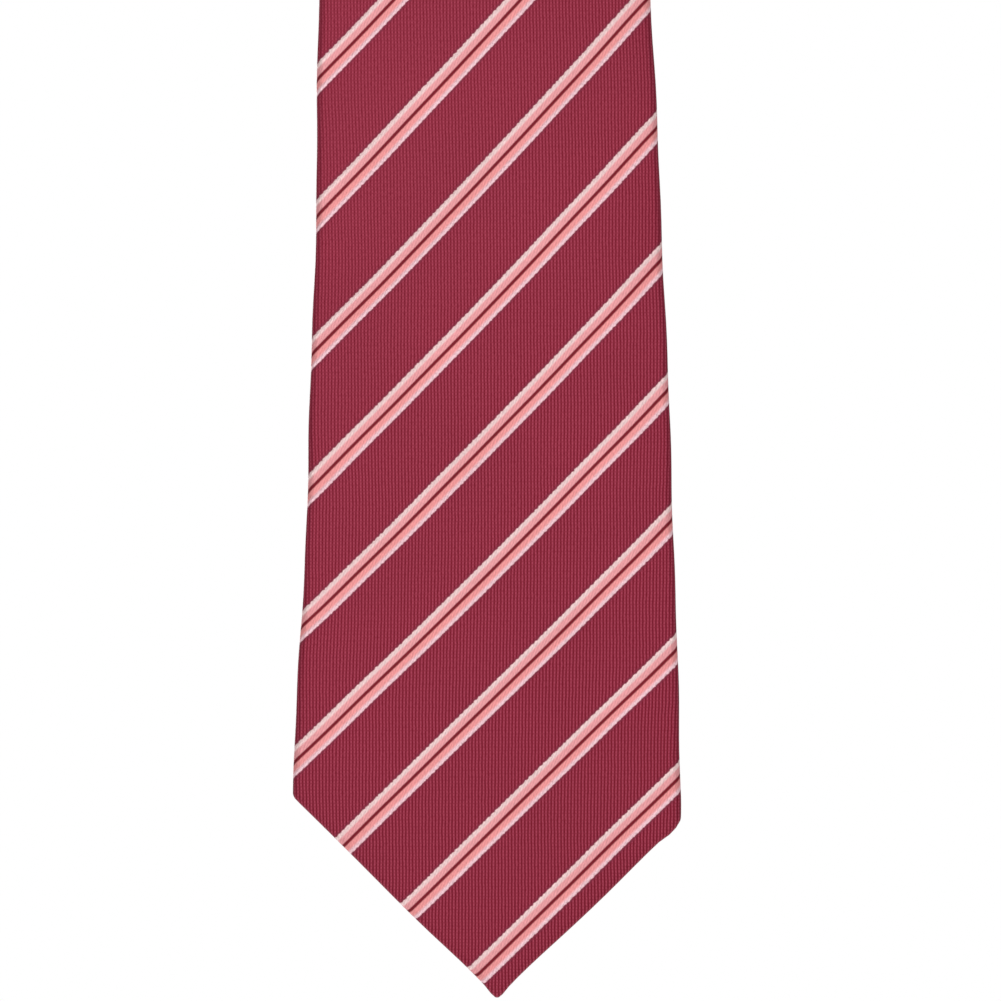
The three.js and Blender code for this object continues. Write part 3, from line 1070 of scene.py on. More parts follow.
    def inside_distance(self, x: np.ndarray, a: np.ndarray) -> np.ndarray:
        """Measure how far points lie inside the finished edge.

        Args:
            x: Distances across.
            a: Distances from this length's own tip.

        Returns:
            Distances, none smaller than the roll of a folded edge.
        """
        inside = TIE.half_width(self.along(a)) - np.abs(x)
        for sign in (-1, 1) if self.end else ():
            tip, way = self.end.slant(sign, self.from_tail)
            square = np.array([way[1], -way[0]]) * -sign / np.linalg.norm(way)
            inside = np.minimum(inside, (x - tip[0]) * square[0] + (a - tip[1]) * square[1])
        return np.maximum(inside, LAYERS.roll)


@dataclass
class OuterCloth:
    """One piece of striped cloth: its shape, its stripes and how it moves."""

    name: str
    plan: FoldedCloth
    replaces: str
    stripe_shift: float = 0.0
    bend: Bend | None = None

    def make(self, finish: bpy.types.Material) -> bpy.types.Object:
        """Build, dress and place the cloth.

        Args:
            finish: The striped material.

        Returns:
            The cloth.
        """
        sheet = self.plan.build()
        stripe = STRIPES.number(*sheet.cut.T, self.stripe_shift)
        obj = sheet.make(self.name, finish, Slot.REPP, LAYERS.cloth, stripe)
        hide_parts(self.replaces)
        sheet.size()
        sheet.area()
        if self.bend:
            self.bend.cross(obj)
        else:
            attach(obj, Body.NECK.value)
        return obj


# ---------------------------------------------------------------- the flat inner layers


@dataclass
class InnerLayer:
    """A flat layer inside the tie: wool interlining or satin tipping."""

    name: str
    replaces: str
    slot: Slot
    start: float
    stop: float
    height: float
    thickness: float
    inset: float
    end: PointedEnd | None = None
    from_tail: bool = False
    bend: Bend | None = None
    body: Body = Body.NECK
    columns: int = 17
    row_step: float = 5 * MM
    shoulder_inset: float = 0.42  # how far inside a pointed end the layer stops, in insets
    tip_inset: float = 1.41
    widest: float = 45 * MM
    settled: float = 0.8  # the share of its length over which the point's slant fades

    def along(self, a: np.ndarray) -> np.ndarray:
        """Distances along the tie, from distances from this layer's own tip."""
        return TIE.length - a if self.from_tail else a

    def build(self) -> Sheet:
        """Lay out the layer.

        Returns:
            Its middle surface on the flat tie.
        """
        share = np.linspace(0, 1, self.columns)
        sag = np.zeros(self.columns)
        low = {-1: self.start, 1: self.start}
        if self.end:
            end = self.end
            low = {-1: end.left, 1: end.right}
            low = {sign: at + self.inset * self.shoulder_inset for sign, at in low.items()}
            half = float(TIE.half_width(self.along(np.array(self.widest)))) - self.inset
            tip_share = (end.tip_x + half) / (2 * half)
            tip_depth = mix(low[-1], low[1], tip_share) - (end.tip + self.inset * self.tip_inset)
            sag = -tip_depth * np.minimum(share / tip_share, (1 - share) / (1 - tip_share))
        count = max(8, int((self.stop - self.start) / self.row_step))
        t = np.linspace(0, 1, count)
        side = {k: mix(low[k], self.stop, t) for k in (-1, 1)}
        x_side = {k: k * (TIE.half_width(self.along(side[k])) - self.inset) for k in (-1, 1)}
        x = mix(x_side[-1][:, None], x_side[1][:, None], share)
        slant = (1 - smooth(t / self.settled))[:, None] * sag
        a = mix(side[-1][:, None], side[1][:, None], share) + slant
        x, s = x.ravel(), self.along(a).ravel()
        faces = quads(numbered(count, self.columns))
        return Sheet(x, s, np.full(len(x), self.height), np.stack([x, s], axis=1), faces)

    def make(self, finish: bpy.types.Material) -> bpy.types.Object:
        """Build, dress and place the layer.

        Args:
            finish: The layer's material.

        Returns:
            The layer.
        """
        sheet = self.build()
        obj = sheet.make(self.name, finish, self.slot, self.thickness)
        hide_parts(self.replaces)
        sheet.size()
        sheet.area()
        if self.bend:
            self.bend.cross(obj)
        else:
            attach(obj, self.body.value)
        return obj


# ---------------------------------------------------------------- thread


def grow(tree: GeometryTree, name: str, line: np.ndarray, values: tuple[Any, ...]) -> bpy.types.Object:
    """Run a tree on a line of the flat tie, hang the result, and keep the plain mesh.

    Args:
        tree: The tree.
        name: The piece's name.
        line: Points x, s, n of the flat tie, one row each.
        values: The values of the tree's inputs, in order, the thread's material last.

    Returns:
        The new object, in the scene.
    """
    obj = line_object(name, line)
    tree.put_on(obj, values)
    hang(obj, values[-1])
    bake_mesh(obj)
    face_outward(obj)
    dress(obj, values[-1])
    LOG.info("%s: %d faces", name, len(obj.data.polygons))
    return obj


class StitchTree(GeometryTree):
    """The node tree that sews a row of stitches along a line of points."""

    INPUTS = (
        ("Pitch", "NodeSocketFloat"),
        ("Stitch Length", "NodeSocketFloat"),
        ("Rise", "NodeSocketFloat"),
        ("Drop", "NodeSocketFloat"),
        ("Thread Radius", "NodeSocketFloat"),
        ("Slant", "NodeSocketFloat"),
        ("Seed", "NodeSocketInt"),
        ("Thread", "NodeSocketMaterial"),
    )

    def write(self) -> None:
        """Write the tree: a bent thread, copied along the line, square to the cloth."""
        given = self.node("NodeGroupInput").outputs
        half = self.math("MULTIPLY", given["Stitch Length"], 0.5)
        low = self.math("MULTIPLY", given["Drop"], -1.0)
        stitch = self.node(
            "GeometryNodeCurvePrimitiveBezierSegment",
            {
                "Resolution": 9,
                "Start": self.vector(y=self.math("MULTIPLY", half, -1.0)),
                "Start Handle": self.vector(y=self.math("MULTIPLY", half, -0.8), z=given["Rise"]),
                "End Handle": self.vector(y=self.math("MULTIPLY", half, 0.8), z=given["Rise"]),
                "End": self.vector(y=half, z=low),
            },
        )
        circle = {"Resolution": 7, "Radius": given["Thread Radius"]}
        ring = self.node("GeometryNodeCurvePrimitiveCircle", circle)
        tube = self.node(
            "GeometryNodeCurveToMesh",
            {"Curve": stitch.outputs[0], "Profile Curve": ring.outputs[0], "Fill Caps": True},
        )
        soft = self.node("GeometryNodeSetShadeSmooth", {0: tube.outputs[0]})
        line = self.node("GeometryNodeMeshToCurve", {0: given["Work"]})
        pitch = {"Curve": line.outputs[0], "Length": given["Pitch"]}
        spaced = self.node("GeometryNodeResampleCurve", pitch, mode="LENGTH")
        along = self.node("GeometryNodeInputTangent")
        turn = self.node("FunctionNodeAxesToRotation", {0: self.vector(z=-1.0), 1: along.outputs[0]})
        turn.primary_axis, turn.secondary_axis = "Z", "X"
        spread = {2: -0.10, 3: 0.10, "Seed": given["Seed"]}
        sway = self.node("FunctionNodeRandomValue", spread, data_type="FLOAT")
        slant = self.math("ADD", given["Slant"], sway.outputs[1])
        spin = self.node("FunctionNodeEulerToRotation", {0: self.vector(z=slant)})
        turns = {0: turn.outputs[0], 1: spin.outputs[0]}
        turned = self.node("FunctionNodeRotateRotation", turns, rotation_space="LOCAL")
        spread = {2: 0.92, 3: 1.08, "Seed": given["Seed"]}
        size = self.node("FunctionNodeRandomValue", spread, data_type="FLOAT")
        copies = self.node(
            "GeometryNodeInstanceOnPoints",
            {
                "Points": spaced.outputs[0],
                "Instance": soft.outputs[0],
                "Rotation": turned.outputs[0],
                "Scale": size.outputs[1],
            },
        )
        self.end(copies.outputs[0], given["Thread"])


@dataclass(frozen=True)
class Line:
    """A line on the flat tie, and the side its stitches step down to."""

    x: np.ndarray
    s: np.ndarray
    n: np.ndarray
    toward: tuple[float, float]

    @classmethod
    def between(
        cls, one: tuple[float, float, float], two: tuple[float, float, float], toward: tuple[float, float]
    ) -> "Line":
        """Draw a straight line of close points.

        Args:
            one: Its start, as x, s and n.
            two: Its end.
            toward: The side its stitches step down to.

        Returns:
            The line.
        """
        steps = max(3, int(math.dist(one, two) / (2 * MM)))
        return cls(*np.linspace(one, two, steps).T, toward)

    def points(self) -> np.ndarray:
        """Put the line on the settled cloth.

        Returns:
            Points x, s, n in sewing order, one row each.
        """
        x, s, n = self.x, self.s, self.n
        side = (s[-1] - s[0]) * self.toward[0] - (x[-1] - x[0]) * self.toward[1]
        if side < 0:
            x, s, n = x[::-1], s[::-1], n[::-1]
        return TIE.settle(x, s, n)


@dataclass(frozen=True)
class StitchRow:
    """A row of stitches of one kind."""

    pitch: float
    length: float
    rise: float
    drop: float
    radius: float
    slant: float
    seed: int

    def sew(
        self, name: str, replaces: str, line: Line, tree: StitchTree, thread: bpy.types.Material
    ) -> bpy.types.Object:
        """Sew the row.

        Args:
            name: The piece's name.
            replaces: The CAD node it stands for.
            line: Where the stitches go.
            tree: The node tree that makes them.
            thread: The thread's material.

        Returns:
            The stitches.
        """
        values = (self.pitch, self.length, self.rise, self.drop, self.radius, self.slant, self.seed, thread)
        obj = grow(tree, name, line.points(), values)
        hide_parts(replaces)
        return obj


SLIP = StitchRow(9 * MM, 2.6 * MM, 0.30 * MM, 0.72 * MM, 0.20 * MM, 0.55, 3)
TACKED = StitchRow(0.36 * MM, 1.5 * MM, 0.55 * MM, 0.0, 0.19 * MM, 0.0, 5)
HEMMED = StitchRow(2.6 * MM, 1.7 * MM, 0.22 * MM, 0.62 * MM, 0.15 * MM, 0.45, 7)
STRAPPED = StitchRow(1.3 * MM, 1.5 * MM, 0.22 * MM, 0.0, 0.17 * MM, 0.5, 11)
LABELLED = StitchRow(1.1 * MM, 1.1 * MM, 0.24 * MM, 0.1 * MM, 0.14 * MM, 0.35, 13)


@dataclass
class Sewing:
    """All the stitches that hold the tie together."""

    thread: bpy.types.Material
    tree: StitchTree = field(default_factory=lambda: StitchTree("stitch row"))
    seam_x: float = -1.1 * MM
    seam_gap: float = 6 * MM  # how far the slip stitch stays from a joining seam
    front_slip: float = 143 * MM  # where the slip stitch starts, from the tip of its end
    tail_slip: float = 76 * MM
    front_tack: float = 128 * MM
    tail_tack: float = 62 * MM
    tack_x: tuple[float, ...] = (-1.9, -1.4, -1.0, -0.6, 1, 3, 5, 7.4)  # millimetres
    tack_n: tuple[float, ...] = (-1.9, -2.3, -2.62, -2.66, -2.66, -2.66, -2.66, -2.66)
    hem_share: tuple[float, float] = (0.3, 0.88)  # the stitched part of a pointed edge
    past_hem: float = 0.35 * MM
    strap_x: float = 25.9 * MM
    strap_inset: float = 1.4 * MM  # from the strap's edges to its stitches
    label_inset: float = 0.6 * MM
    above_label: float = 0.15 * MM
    over_lap: float = 0.2 * MM  # how far the thread's line lies outside the middle of each cloth
    over_hem: float = 0.16 * MM
    over_strap: float = 0.42 * MM
    over_label: float = 0.12 * MM

    def sew(self, row: StitchRow, name: str, replaces: str, line: Line) -> bpy.types.Object:
        """Sew one row with the tie's own thread."""
        return row.sew(name, replaces, line, self.tree, self.thread)

    def slip(self, part: str, start: float, stop: float, bend: Bend | None) -> None:
        """Close the centre back over one length of the tie.

        Args:
            part: The length.
            start: Where the row starts.
            stop: Where it stops.
            bend: The hinge that it crosses.
        """
        n = LAYERS.lap - self.over_lap
        line = Line.between((self.seam_x, start, n), (self.seam_x, stop, n), (-1, 0))
        obj = self.sew(SLIP, f"{part}_slip_stitch_thread", f"{part}_slip_stitch", line)
        if bend:
            bend.cross(obj)
        else:
            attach(obj, Body.NECK.value)

    def tack(self, part: str, s: float, body: Body) -> None:
        """Sew the bar tack across the end of the centre back seam.

        Args:
            part: The end of the tie.
            s: The tack's place along the tie.
            body: What it rides on.
        """
        x, n = np.array(self.tack_x) * MM, np.array(self.tack_n) * MM
        line = Line(x, np.full(len(x), s), n, (0, 1))
        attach(self.sew(TACKED, f"{part}_bar_tack_thread", f"{part}_bar_tack", line), body.value)

    def hem(self, part: str, end: PointedEnd, from_tail: bool, body: Body) -> None:
        """Sew the tipping to the hem on both pointed edges of an end.

        Args:
            part: The end of the tie.
            end: Its shape.
            from_tail: Whether it is the tail's.
            body: What the stitches ride on.
        """
        for sign, side in ((-1, "left"), (1, "right")):
            tip, way = end.slant(sign, from_tail)
            inward = np.array([way[1], -way[0]]) * -sign / np.linalg.norm(way)
            ends = [tip + share * way + (end.hem + self.past_hem) * inward for share in self.hem_share]
            toward = (inward[0], -inward[1] if from_tail else inward[1])
            n = LAYERS.flap - self.over_hem
            line = Line.between(*((x, TIE.length - a if from_tail else a, n) for x, a in ends), toward)
            obj = self.sew(HEMMED, f"{part}_hem_stitches_{side}", f"{part}_hem_thread_{side}", line)
            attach(obj, body.value)

    def strap(self, keeper: "KeeperLoop") -> None:
        """Sew both feet of the keeper loop down.

        Args:
            keeper: The loop.
        """
        n = keeper.foot_height - self.over_strap
        low = keeper.start + self.strap_inset
        high = keeper.start + keeper.width - self.strap_inset
        for sign, side in ((-1, "left"), (1, "right")):
            x = sign * self.strap_x
            line = Line.between((x, low, n), (x, high, n), (1, 0))
            obj = self.sew(STRAPPED, f"keeper_stitches_{side}", f"keeper_stitch_{side}", line)
            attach(obj, Body.FRONT.value)

    def label(self, label: "CareLabel") -> None:
        """Sew the label on along its top.

        Args:
            label: The label.
        """
        at = label.top + self.above_label
        n = label.height - self.over_label
        x = label.width / 2 - self.label_inset
        line = Line.between((-x, at, n), (x, at, n), (0, 1))
        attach(self.sew(LABELLED, "label_stitches", "care_label_stitch", line), Body.FRONT.value)

    def make(self, keeper: "KeeperLoop", label: "CareLabel") -> None:
        """Sew everything.

        Args:
            keeper: The keeper loop, for its place.
            label: The label, for its place.
        """
        self.slip("front", self.front_slip, TIE.front_join - self.seam_gap, Bend.FRONT)
        self.slip("neck", TIE.front_join + self.seam_gap, TIE.tail_join - self.seam_gap, None)
        self.slip("tail", TIE.tail_join + self.seam_gap, TIE.length - self.tail_slip, Bend.TAIL)
        self.tack("front", self.front_tack, Body.FRONT)
        self.tack("tail", TIE.length - self.tail_tack, Body.TAIL)
        self.hem("front", FRONT_END, False, Body.FRONT)
        self.hem("tail", TAIL_END, True, Body.TAIL)
        self.strap(keeper)
        self.label(label)


class TwistTree(GeometryTree):
    """The node tree that lays two twisted plies of thread along a line of points."""

    INPUTS = (
        ("Thread Radius", "NodeSocketFloat"),
        ("Waist", "NodeSocketFloat"),
        ("Twist Length", "NodeSocketFloat"),
        ("Step", "NodeSocketFloat"),
        ("Thread", "NodeSocketMaterial"),
    )

    def write(self) -> None:
        """Write the tree: a waisted section that turns as it follows the line."""
        given = self.node("NodeGroupInput").outputs
        line = self.node("GeometryNodeMeshToCurve", {0: given["Work"]})
        step = {"Curve": line.outputs[0], "Length": given["Step"]}
        even = self.node("GeometryNodeResampleCurve", step, mode="LENGTH")
        run = self.node("GeometryNodeSplineParameter").outputs["Length"]
        tilt = self.math("MULTIPLY", run, self.math("DIVIDE", 2 * math.pi, given["Twist Length"]))
        turned = self.node("GeometryNodeSetCurveTilt", {"Curve": even.outputs[0], "Tilt": tilt})
        circle = {"Resolution": 14, "Radius": given["Thread Radius"]}
        ring = self.node("GeometryNodeCurvePrimitiveCircle", circle)
        place = self.node("GeometryNodeInputPosition").outputs[0]
        unit = self.node("ShaderNodeVectorMath", {0: place}, operation="NORMALIZE").outputs[0]
        side = self.node("ShaderNodeSeparateXYZ", {0: unit}).outputs[0]
        lobe = {"Value": self.math("ABSOLUTE", side), "To Min": given["Waist"], "To Max": 1.0}
        width = self.node("ShaderNodeMapRange", lobe).outputs[0]
        lobed = self.node("ShaderNodeVectorMath", {0: place, "Scale": width}, operation="SCALE").outputs[0]
        section = self.node("GeometryNodeSetPosition", {"Geometry": ring.outputs[0], "Position": lobed})
        tube = self.node(
            "GeometryNodeCurveToMesh",
            {"Curve": turned.outputs[0], "Profile Curve": section.outputs[0], "Fill Caps": True},
        )
        soft = self.node("GeometryNodeSetShadeSmooth", {0: tube.outputs[0]})
        self.end(soft.outputs[0], given["Thread"])


@dataclass(frozen=True)
class SlackLoop:
    """The loose loop of twisted thread left at the lower end of the slip stitch."""

    radius: float = 0.26 * MM
    waist: float = 0.62
    twist: float = 1.5 * MM
    step: float = 0.15 * MM
    height: float = -2.15 * MM
    # its route on the flat tie, x and s in millimetres, down the right side and up the left
    route: tuple[tuple[float, float], ...] = (
        (-1.6, 141.0),
        (-1.7, 138.5),
        (-2.0, 136.0),
        (-2.6, 133.5),
        (-3.1, 131.0),
        (-3.3, 128.5),
        (-3.2, 126.0),
        (-3.4, 123.6),
        (-4.4, 121.9),
        (-6.0, 121.5),
        (-7.5, 122.3),
        (-8.1, 124.2),
        (-7.9, 126.7),
        (-7.2, 129.2),
        (-6.3, 131.6),
        (-5.4, 134.0),
        (-4.6, 136.3),
        (-4.0, 138.7),
    )

    def curve(self) -> np.ndarray:
        """A smooth curve through the route.

        Returns:
            Points x, s, n of the flat tie, one row each.
        """
        at = np.array(self.route) * MM
        at = np.vstack([2 * at[0] - at[1], at, 2 * at[-1] - at[-2]])
        t = np.linspace(0, 1, 13)[:-1, None]
        parts = []
        for a, b, c, d in zip(at, at[1:], at[2:], at[3:], strict=False):
            parts.append(b + 0.5 * t * (c - a + t * (2 * a - 5 * b + 4 * c - d + t * (3 * (b - c) + d - a))))
        x, s = np.vstack([*parts, at[-2:-1]]).T
        return TIE.settle(x, s, np.full(len(x), self.height))

    def make(self, thread: bpy.types.Material) -> bpy.types.Object:
        """Build, dress and place the loop.

        Args:
            thread: The thread's material.

        Returns:
            The loop.
        """
        flat = self.curve()
        values = (self.radius, self.waist, self.twist, self.step, thread)
        obj = grow(TwistTree("twisted thread"), "slack_thread", flat, values)
        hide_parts("front_slack_loop")
        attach(obj, Body.FRONT.value)
        path = hung_points(flat)
        return obj


# ---------------------------------------------------------------- keeper loop and label


@dataclass(frozen=True)
class KeeperLoop:
    """The strap of folded cloth behind the front blade that holds the tail blade."""

    start: float = 0.186
    width: float = 14 * MM
    reach: float = 28.3 * MM
    inside: float = 23.6 * MM
    foot_height: float = -2.62 * MM
    crest_height: float = -8.3 * MM
    cloth: float = 0.30 * MM
    gap: float = 0.42 * MM  # between the middles of its two layers
    stripe_shift: float = 0.15
    side_curve: float = 0.5  # how square the strap's way round the tail blade is
    crest_curve: float = 0.62
    dip: float = 0.25 * MM  # a slight dip in the middle of its crest
    dip_reach: float = 9 * MM
    wave: float = 0.22 * MM  # its waves along the tie
    wave_length: float = 6 * MM  # of one radian
    narrowing: float = 0.01  # the share by which its width comes and goes
    narrowing_length: float = 8 * MM

    def path(self) -> tuple[np.ndarray, np.ndarray]:
        """Draw the strap's middle line, from left to right.

        Returns:
            x and n of its points.
        """
        t = np.linspace(0, math.pi, 61)
        x = -self.inside * np.sign(np.cos(t)) * np.abs(np.cos(t)) ** self.side_curve
        n = mix(self.foot_height, self.crest_height, np.sin(t) ** self.crest_curve)
        feet = np.linspace(self.reach, self.inside + 0.5 * MM, 8)
        n = n + self.dip * np.exp(-((x / self.dip_reach) ** 2))
        x = np.concatenate([-feet, x, feet[::-1]])
        n = np.concatenate([np.full(8, self.foot_height), n, np.full(8, self.foot_height)])
        return x, n

    def section(self) -> tuple[np.ndarray, np.ndarray]:
        """Draw the folded strip's middle line, across the strap.

        Returns:
            Distances along the tie and heights.
        """
        r = self.gap / 2
        flat = self.width / 2 - self.cloth / 2 - r  # where the turned edges start
        bend = np.linspace(-math.pi / 2, math.pi / 2, 7)
        out = np.linspace(0.1 * MM, flat, 9)
        across = np.linspace(flat, -flat, 17)[1:-1]
        turn = r * np.cos(bend)
        s = np.concatenate([out, flat + turn[1:], across, -flat - turn[:-1], -out[::-1]])
        down = -r * np.sin(bend)
        n = np.concatenate([np.full(9, r), down[1:], np.full(15, -r), -down[:-1], np.full(9, r)])
        return s, n

    def make(self, finish: bpy.types.Material) -> bpy.types.Object:
        """Build, dress and place the loop.

        Args:
            finish: The striped material.

        Returns:
            The loop.
        """
        x, n = self.path()
        across, deep = self.section()
        slope = np.stack([np.gradient(x), np.gradient(n)], axis=1)
        slope = slope / np.linalg.norm(slope, axis=1)[:, None]
        run = np.concatenate([[0], np.cumsum(np.hypot(np.diff(x), np.diff(n)))])
        width = np.concatenate([[0], np.cumsum(np.hypot(np.diff(across), np.diff(deep)))])
        wave = self.wave * np.sin(run / self.wave_length)
        widening = 1 + self.narrowing * np.sin(run / self.narrowing_length)
        px = x[:, None] - slope[:, 1:] * deep
        pn = n[:, None] + slope[:, :1] * deep
        middle = self.start + self.width / 2
        ps = middle + across[None, :] * widening[:, None] + wave[:, None]
        cut = np.stack(np.meshgrid(run, width, indexing="ij"), axis=-1).reshape(-1, 2)
        sheet = Sheet(px.ravel(), ps.ravel(), pn.ravel(), cut, quads(numbered(len(x), len(across))))
        stripe = (cut[:, 0] + cut[:, 1]) / STRIPES.pitch + self.stripe_shift
        obj = sheet.make("keeper_strap", finish, Slot.REPP, self.cloth, stripe)
        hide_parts("keeper_loop")
        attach(obj, Body.FRONT.value)
        sheet.size()
        return obj


@dataclass(frozen=True)
class CareLabel:
    """The blank satin label, sewn along its top edge."""

    top: float = 0.182
    width: float = 24 * MM
    length: float = 29.8 * MM
    height: float = -3.12 * MM
    cloth: float = 0.15 * MM
    hem: float = 3.5 * MM
    hem_gap: float = 0.22 * MM
    corner_curl: float = 0.9 * MM  # how far its lower corners stand off the cloth
    end_curl: float = 0.35 * MM
    ripple: float = 0.10 * MM
    ripple_turns: tuple[float, float] = (4.2, 7.0)  # radians from its middle to a side, and down it

    def make(self, finish: bpy.types.Material) -> bpy.types.Object:
        """Build, dress and place the label.

        Args:
            finish: The ribbon's material.

        Returns:
            The label.
        """
        flat = np.linspace(0, self.length - self.hem_gap / 2, 31)
        turn = math.pi * np.arange(1, 6) / 6
        under = np.linspace(0, self.hem, 5)
        along = np.concatenate([flat, flat[-1] + self.hem_gap / 2 * np.sin(turn), flat[-1] - under])
        lift = np.concatenate([0 * flat, self.hem_gap / 2 * (1 - np.cos(turn)), 0 * under + self.hem_gap])
        run = np.concatenate([[0], np.cumsum(np.hypot(np.diff(along), np.diff(lift)))])
        side = np.linspace(-1, 1, 25)
        down = (along / self.length)[:, None]
        curl = self.corner_curl * down**3 * np.abs(side) ** 3 + self.end_curl * down**2
        wave = self.ripple * np.sin(self.ripple_turns[0] * side + self.ripple_turns[1] * down) * down
        x = np.broadcast_to(side * self.width / 2, curl.shape)
        s = np.broadcast_to((self.top - along)[:, None], curl.shape)
        n = self.height + lift[:, None] - curl - wave
        cut = np.stack(np.meshgrid(run, side * self.width / 2, indexing="ij")[::-1], axis=-1).reshape(-1, 2)
        sheet = Sheet(x.ravel(), s.ravel(), n.ravel(), cut, quads(numbered(*curl.shape)))
        obj = sheet.make("label_ribbon", finish, Slot.RIBBON, self.cloth)
        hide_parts("care_label")
        Bend.LABEL.cross(obj, above=-0.4 * MM, below=4 * MM)
        sheet.size()
        return obj


# ---------------------------------------------------------------- finishes


def dye(red: int, green: int, blue: int) -> tuple[float, float, float, float]:
    """A display colour as the linear colour that the shaders take."""
    shares = (red / 255, green / 255, blue / 255)
    return (*(c / 12.92 if c <= 0.04045 else ((c + 0.055) / 1.055) ** 2.4 for c in shares), 1.0)


class Shader(Nodes):
    """Writes the node tree of one material."""

    def __init__(self, name: str) -> None:
        """Start the material with a bare surface.

        Args:
            name: The material's name.
        """
        self.material = bpy.data.materials.new(name)
        self.material.use_nodes = True
        super().__init__(self.material.node_tree)
        self.tree.nodes.clear()
        self.surface = self.node("ShaderNodeBsdfPrincipled")
        self.node("ShaderNodeOutputMaterial", {0: self.surface.outputs[0]})

    def cut(self) -> tuple[bpy.types.NodeSocket, bpy.types.NodeSocket]:
        """Read the flat cut's coordinates.

        Returns:
            Sockets of the millimetres across and along.
        """
        place = self.node("ShaderNodeUVMap", uv_map=UV_NAME).outputs[0]
        split = self.node("ShaderNodeSeparateXYZ", {0: place}).outputs
        return self.math("MULTIPLY", split[0], 1000.0), self.math("MULTIPLY", split[1], 1000.0)

    def flat(self, across: Any, along: Any, stretch: float = 1.0) -> bpy.types.NodeSocket:
        """A texture position in the flat cut, in millimetres."""
        return self.vector(across, self.math("MULTIPLY", along, stretch))

    def noise(self, at: bpy.types.NodeSocket, scale: float, detail: float = 2.0) -> bpy.types.NodeSocket:
        """Noise about zero, from -0.5 to 0.5."""
        made = self.node("ShaderNodeTexNoise", {"Vector": at, "Scale": scale, "Detail": detail})
        return self.math("SUBTRACT", made.outputs[0], 0.5)

    def wave(self, along: Any, pitch: float, shift: Any = 0.0) -> bpy.types.NodeSocket:
        """A cosine of a distance in millimetres."""
        turn = self.math("MULTIPLY_ADD", along, 2 * math.pi / pitch, shift)
        return self.math("COSINE", turn)

    def ramp(
        self, value: bpy.types.NodeSocket, stops: list[tuple[float, tuple[float, ...]]]
    ) -> bpy.types.NodeSocket:
        """Turn a value into a colour.

        Args:
            value: The value.
            stops: The colours at given values, the lowest value first.

        Returns:
            The colour's socket.
        """
        low, high = stops[0][0], stops[-1][0]
        share = self.math("DIVIDE", self.math("SUBTRACT", value, low), high - low, clamp=True)
        made = self.node("ShaderNodeValToRGB", {0: share})
        band = made.color_ramp
        while len(band.elements) < len(stops):
            band.elements.new(0.5)
        for element, (at, colour) in zip(band.elements, stops, strict=True):
            element.position = (at - low) / (high - low)
            element.color = colour
        return made.outputs[0]

    def blend(self, share: Any, one: Any, two: Any, how: str = "MIX") -> bpy.types.NodeSocket:
        """Mix two colours."""
        made = self.node("ShaderNodeMix", {0: share, 6: one, 7: two}, data_type="RGBA", blend_type=how)
        return made.outputs[2]

    def shade(self, colour: Any, factor: bpy.types.NodeSocket) -> bpy.types.NodeSocket:
        """A colour times a factor."""
        grey = self.node("ShaderNodeCombineColor", {0: factor, 1: factor, 2: factor}).outputs[0]
        return self.blend(1.0, colour, grey, "MULTIPLY")

    def relief(self, height: bpy.types.NodeSocket, strength: float) -> None:
        """Raise the surface by a height in millimetres."""
        bump = self.node("ShaderNodeBump", {"Height": height, "Strength": strength, "Distance": 1 * MM})
        self.tree.links.new(bump.outputs[0], self.surface.inputs["Normal"])

    def set(self, **values: Any) -> None:
        """Set inputs of the surface.

        Args:
            **values: Numbers, colours or sockets. An underscore in a name stands for a space.
        """
        for key, value in values.items():
            target = self.surface.inputs[key.replace("_", " ")]
            if isinstance(value, bpy.types.NodeSocket):
                self.tree.links.new(value, target)
            else:
                target.default_value = value


@dataclass(frozen=True)
class ReppPlace:
    """Where a point of the repp lies in the stripe's pattern, as sockets."""

    distance: bpy.types.NodeSocket  # from the core, in millimetres
    upper: bpy.types.NodeSocket  # 1 above the core and 0 below it
    spread: bpy.types.NodeSocket  # the distance, frayed
    inside: bpy.types.NodeSocket  # 1 in the stripe and 0 on the ground
    cord: bpy.types.NodeSocket  # the slow wave of the corded edge
    outer: bpy.types.NodeSocket  # how near the point is to the stripe's outer part


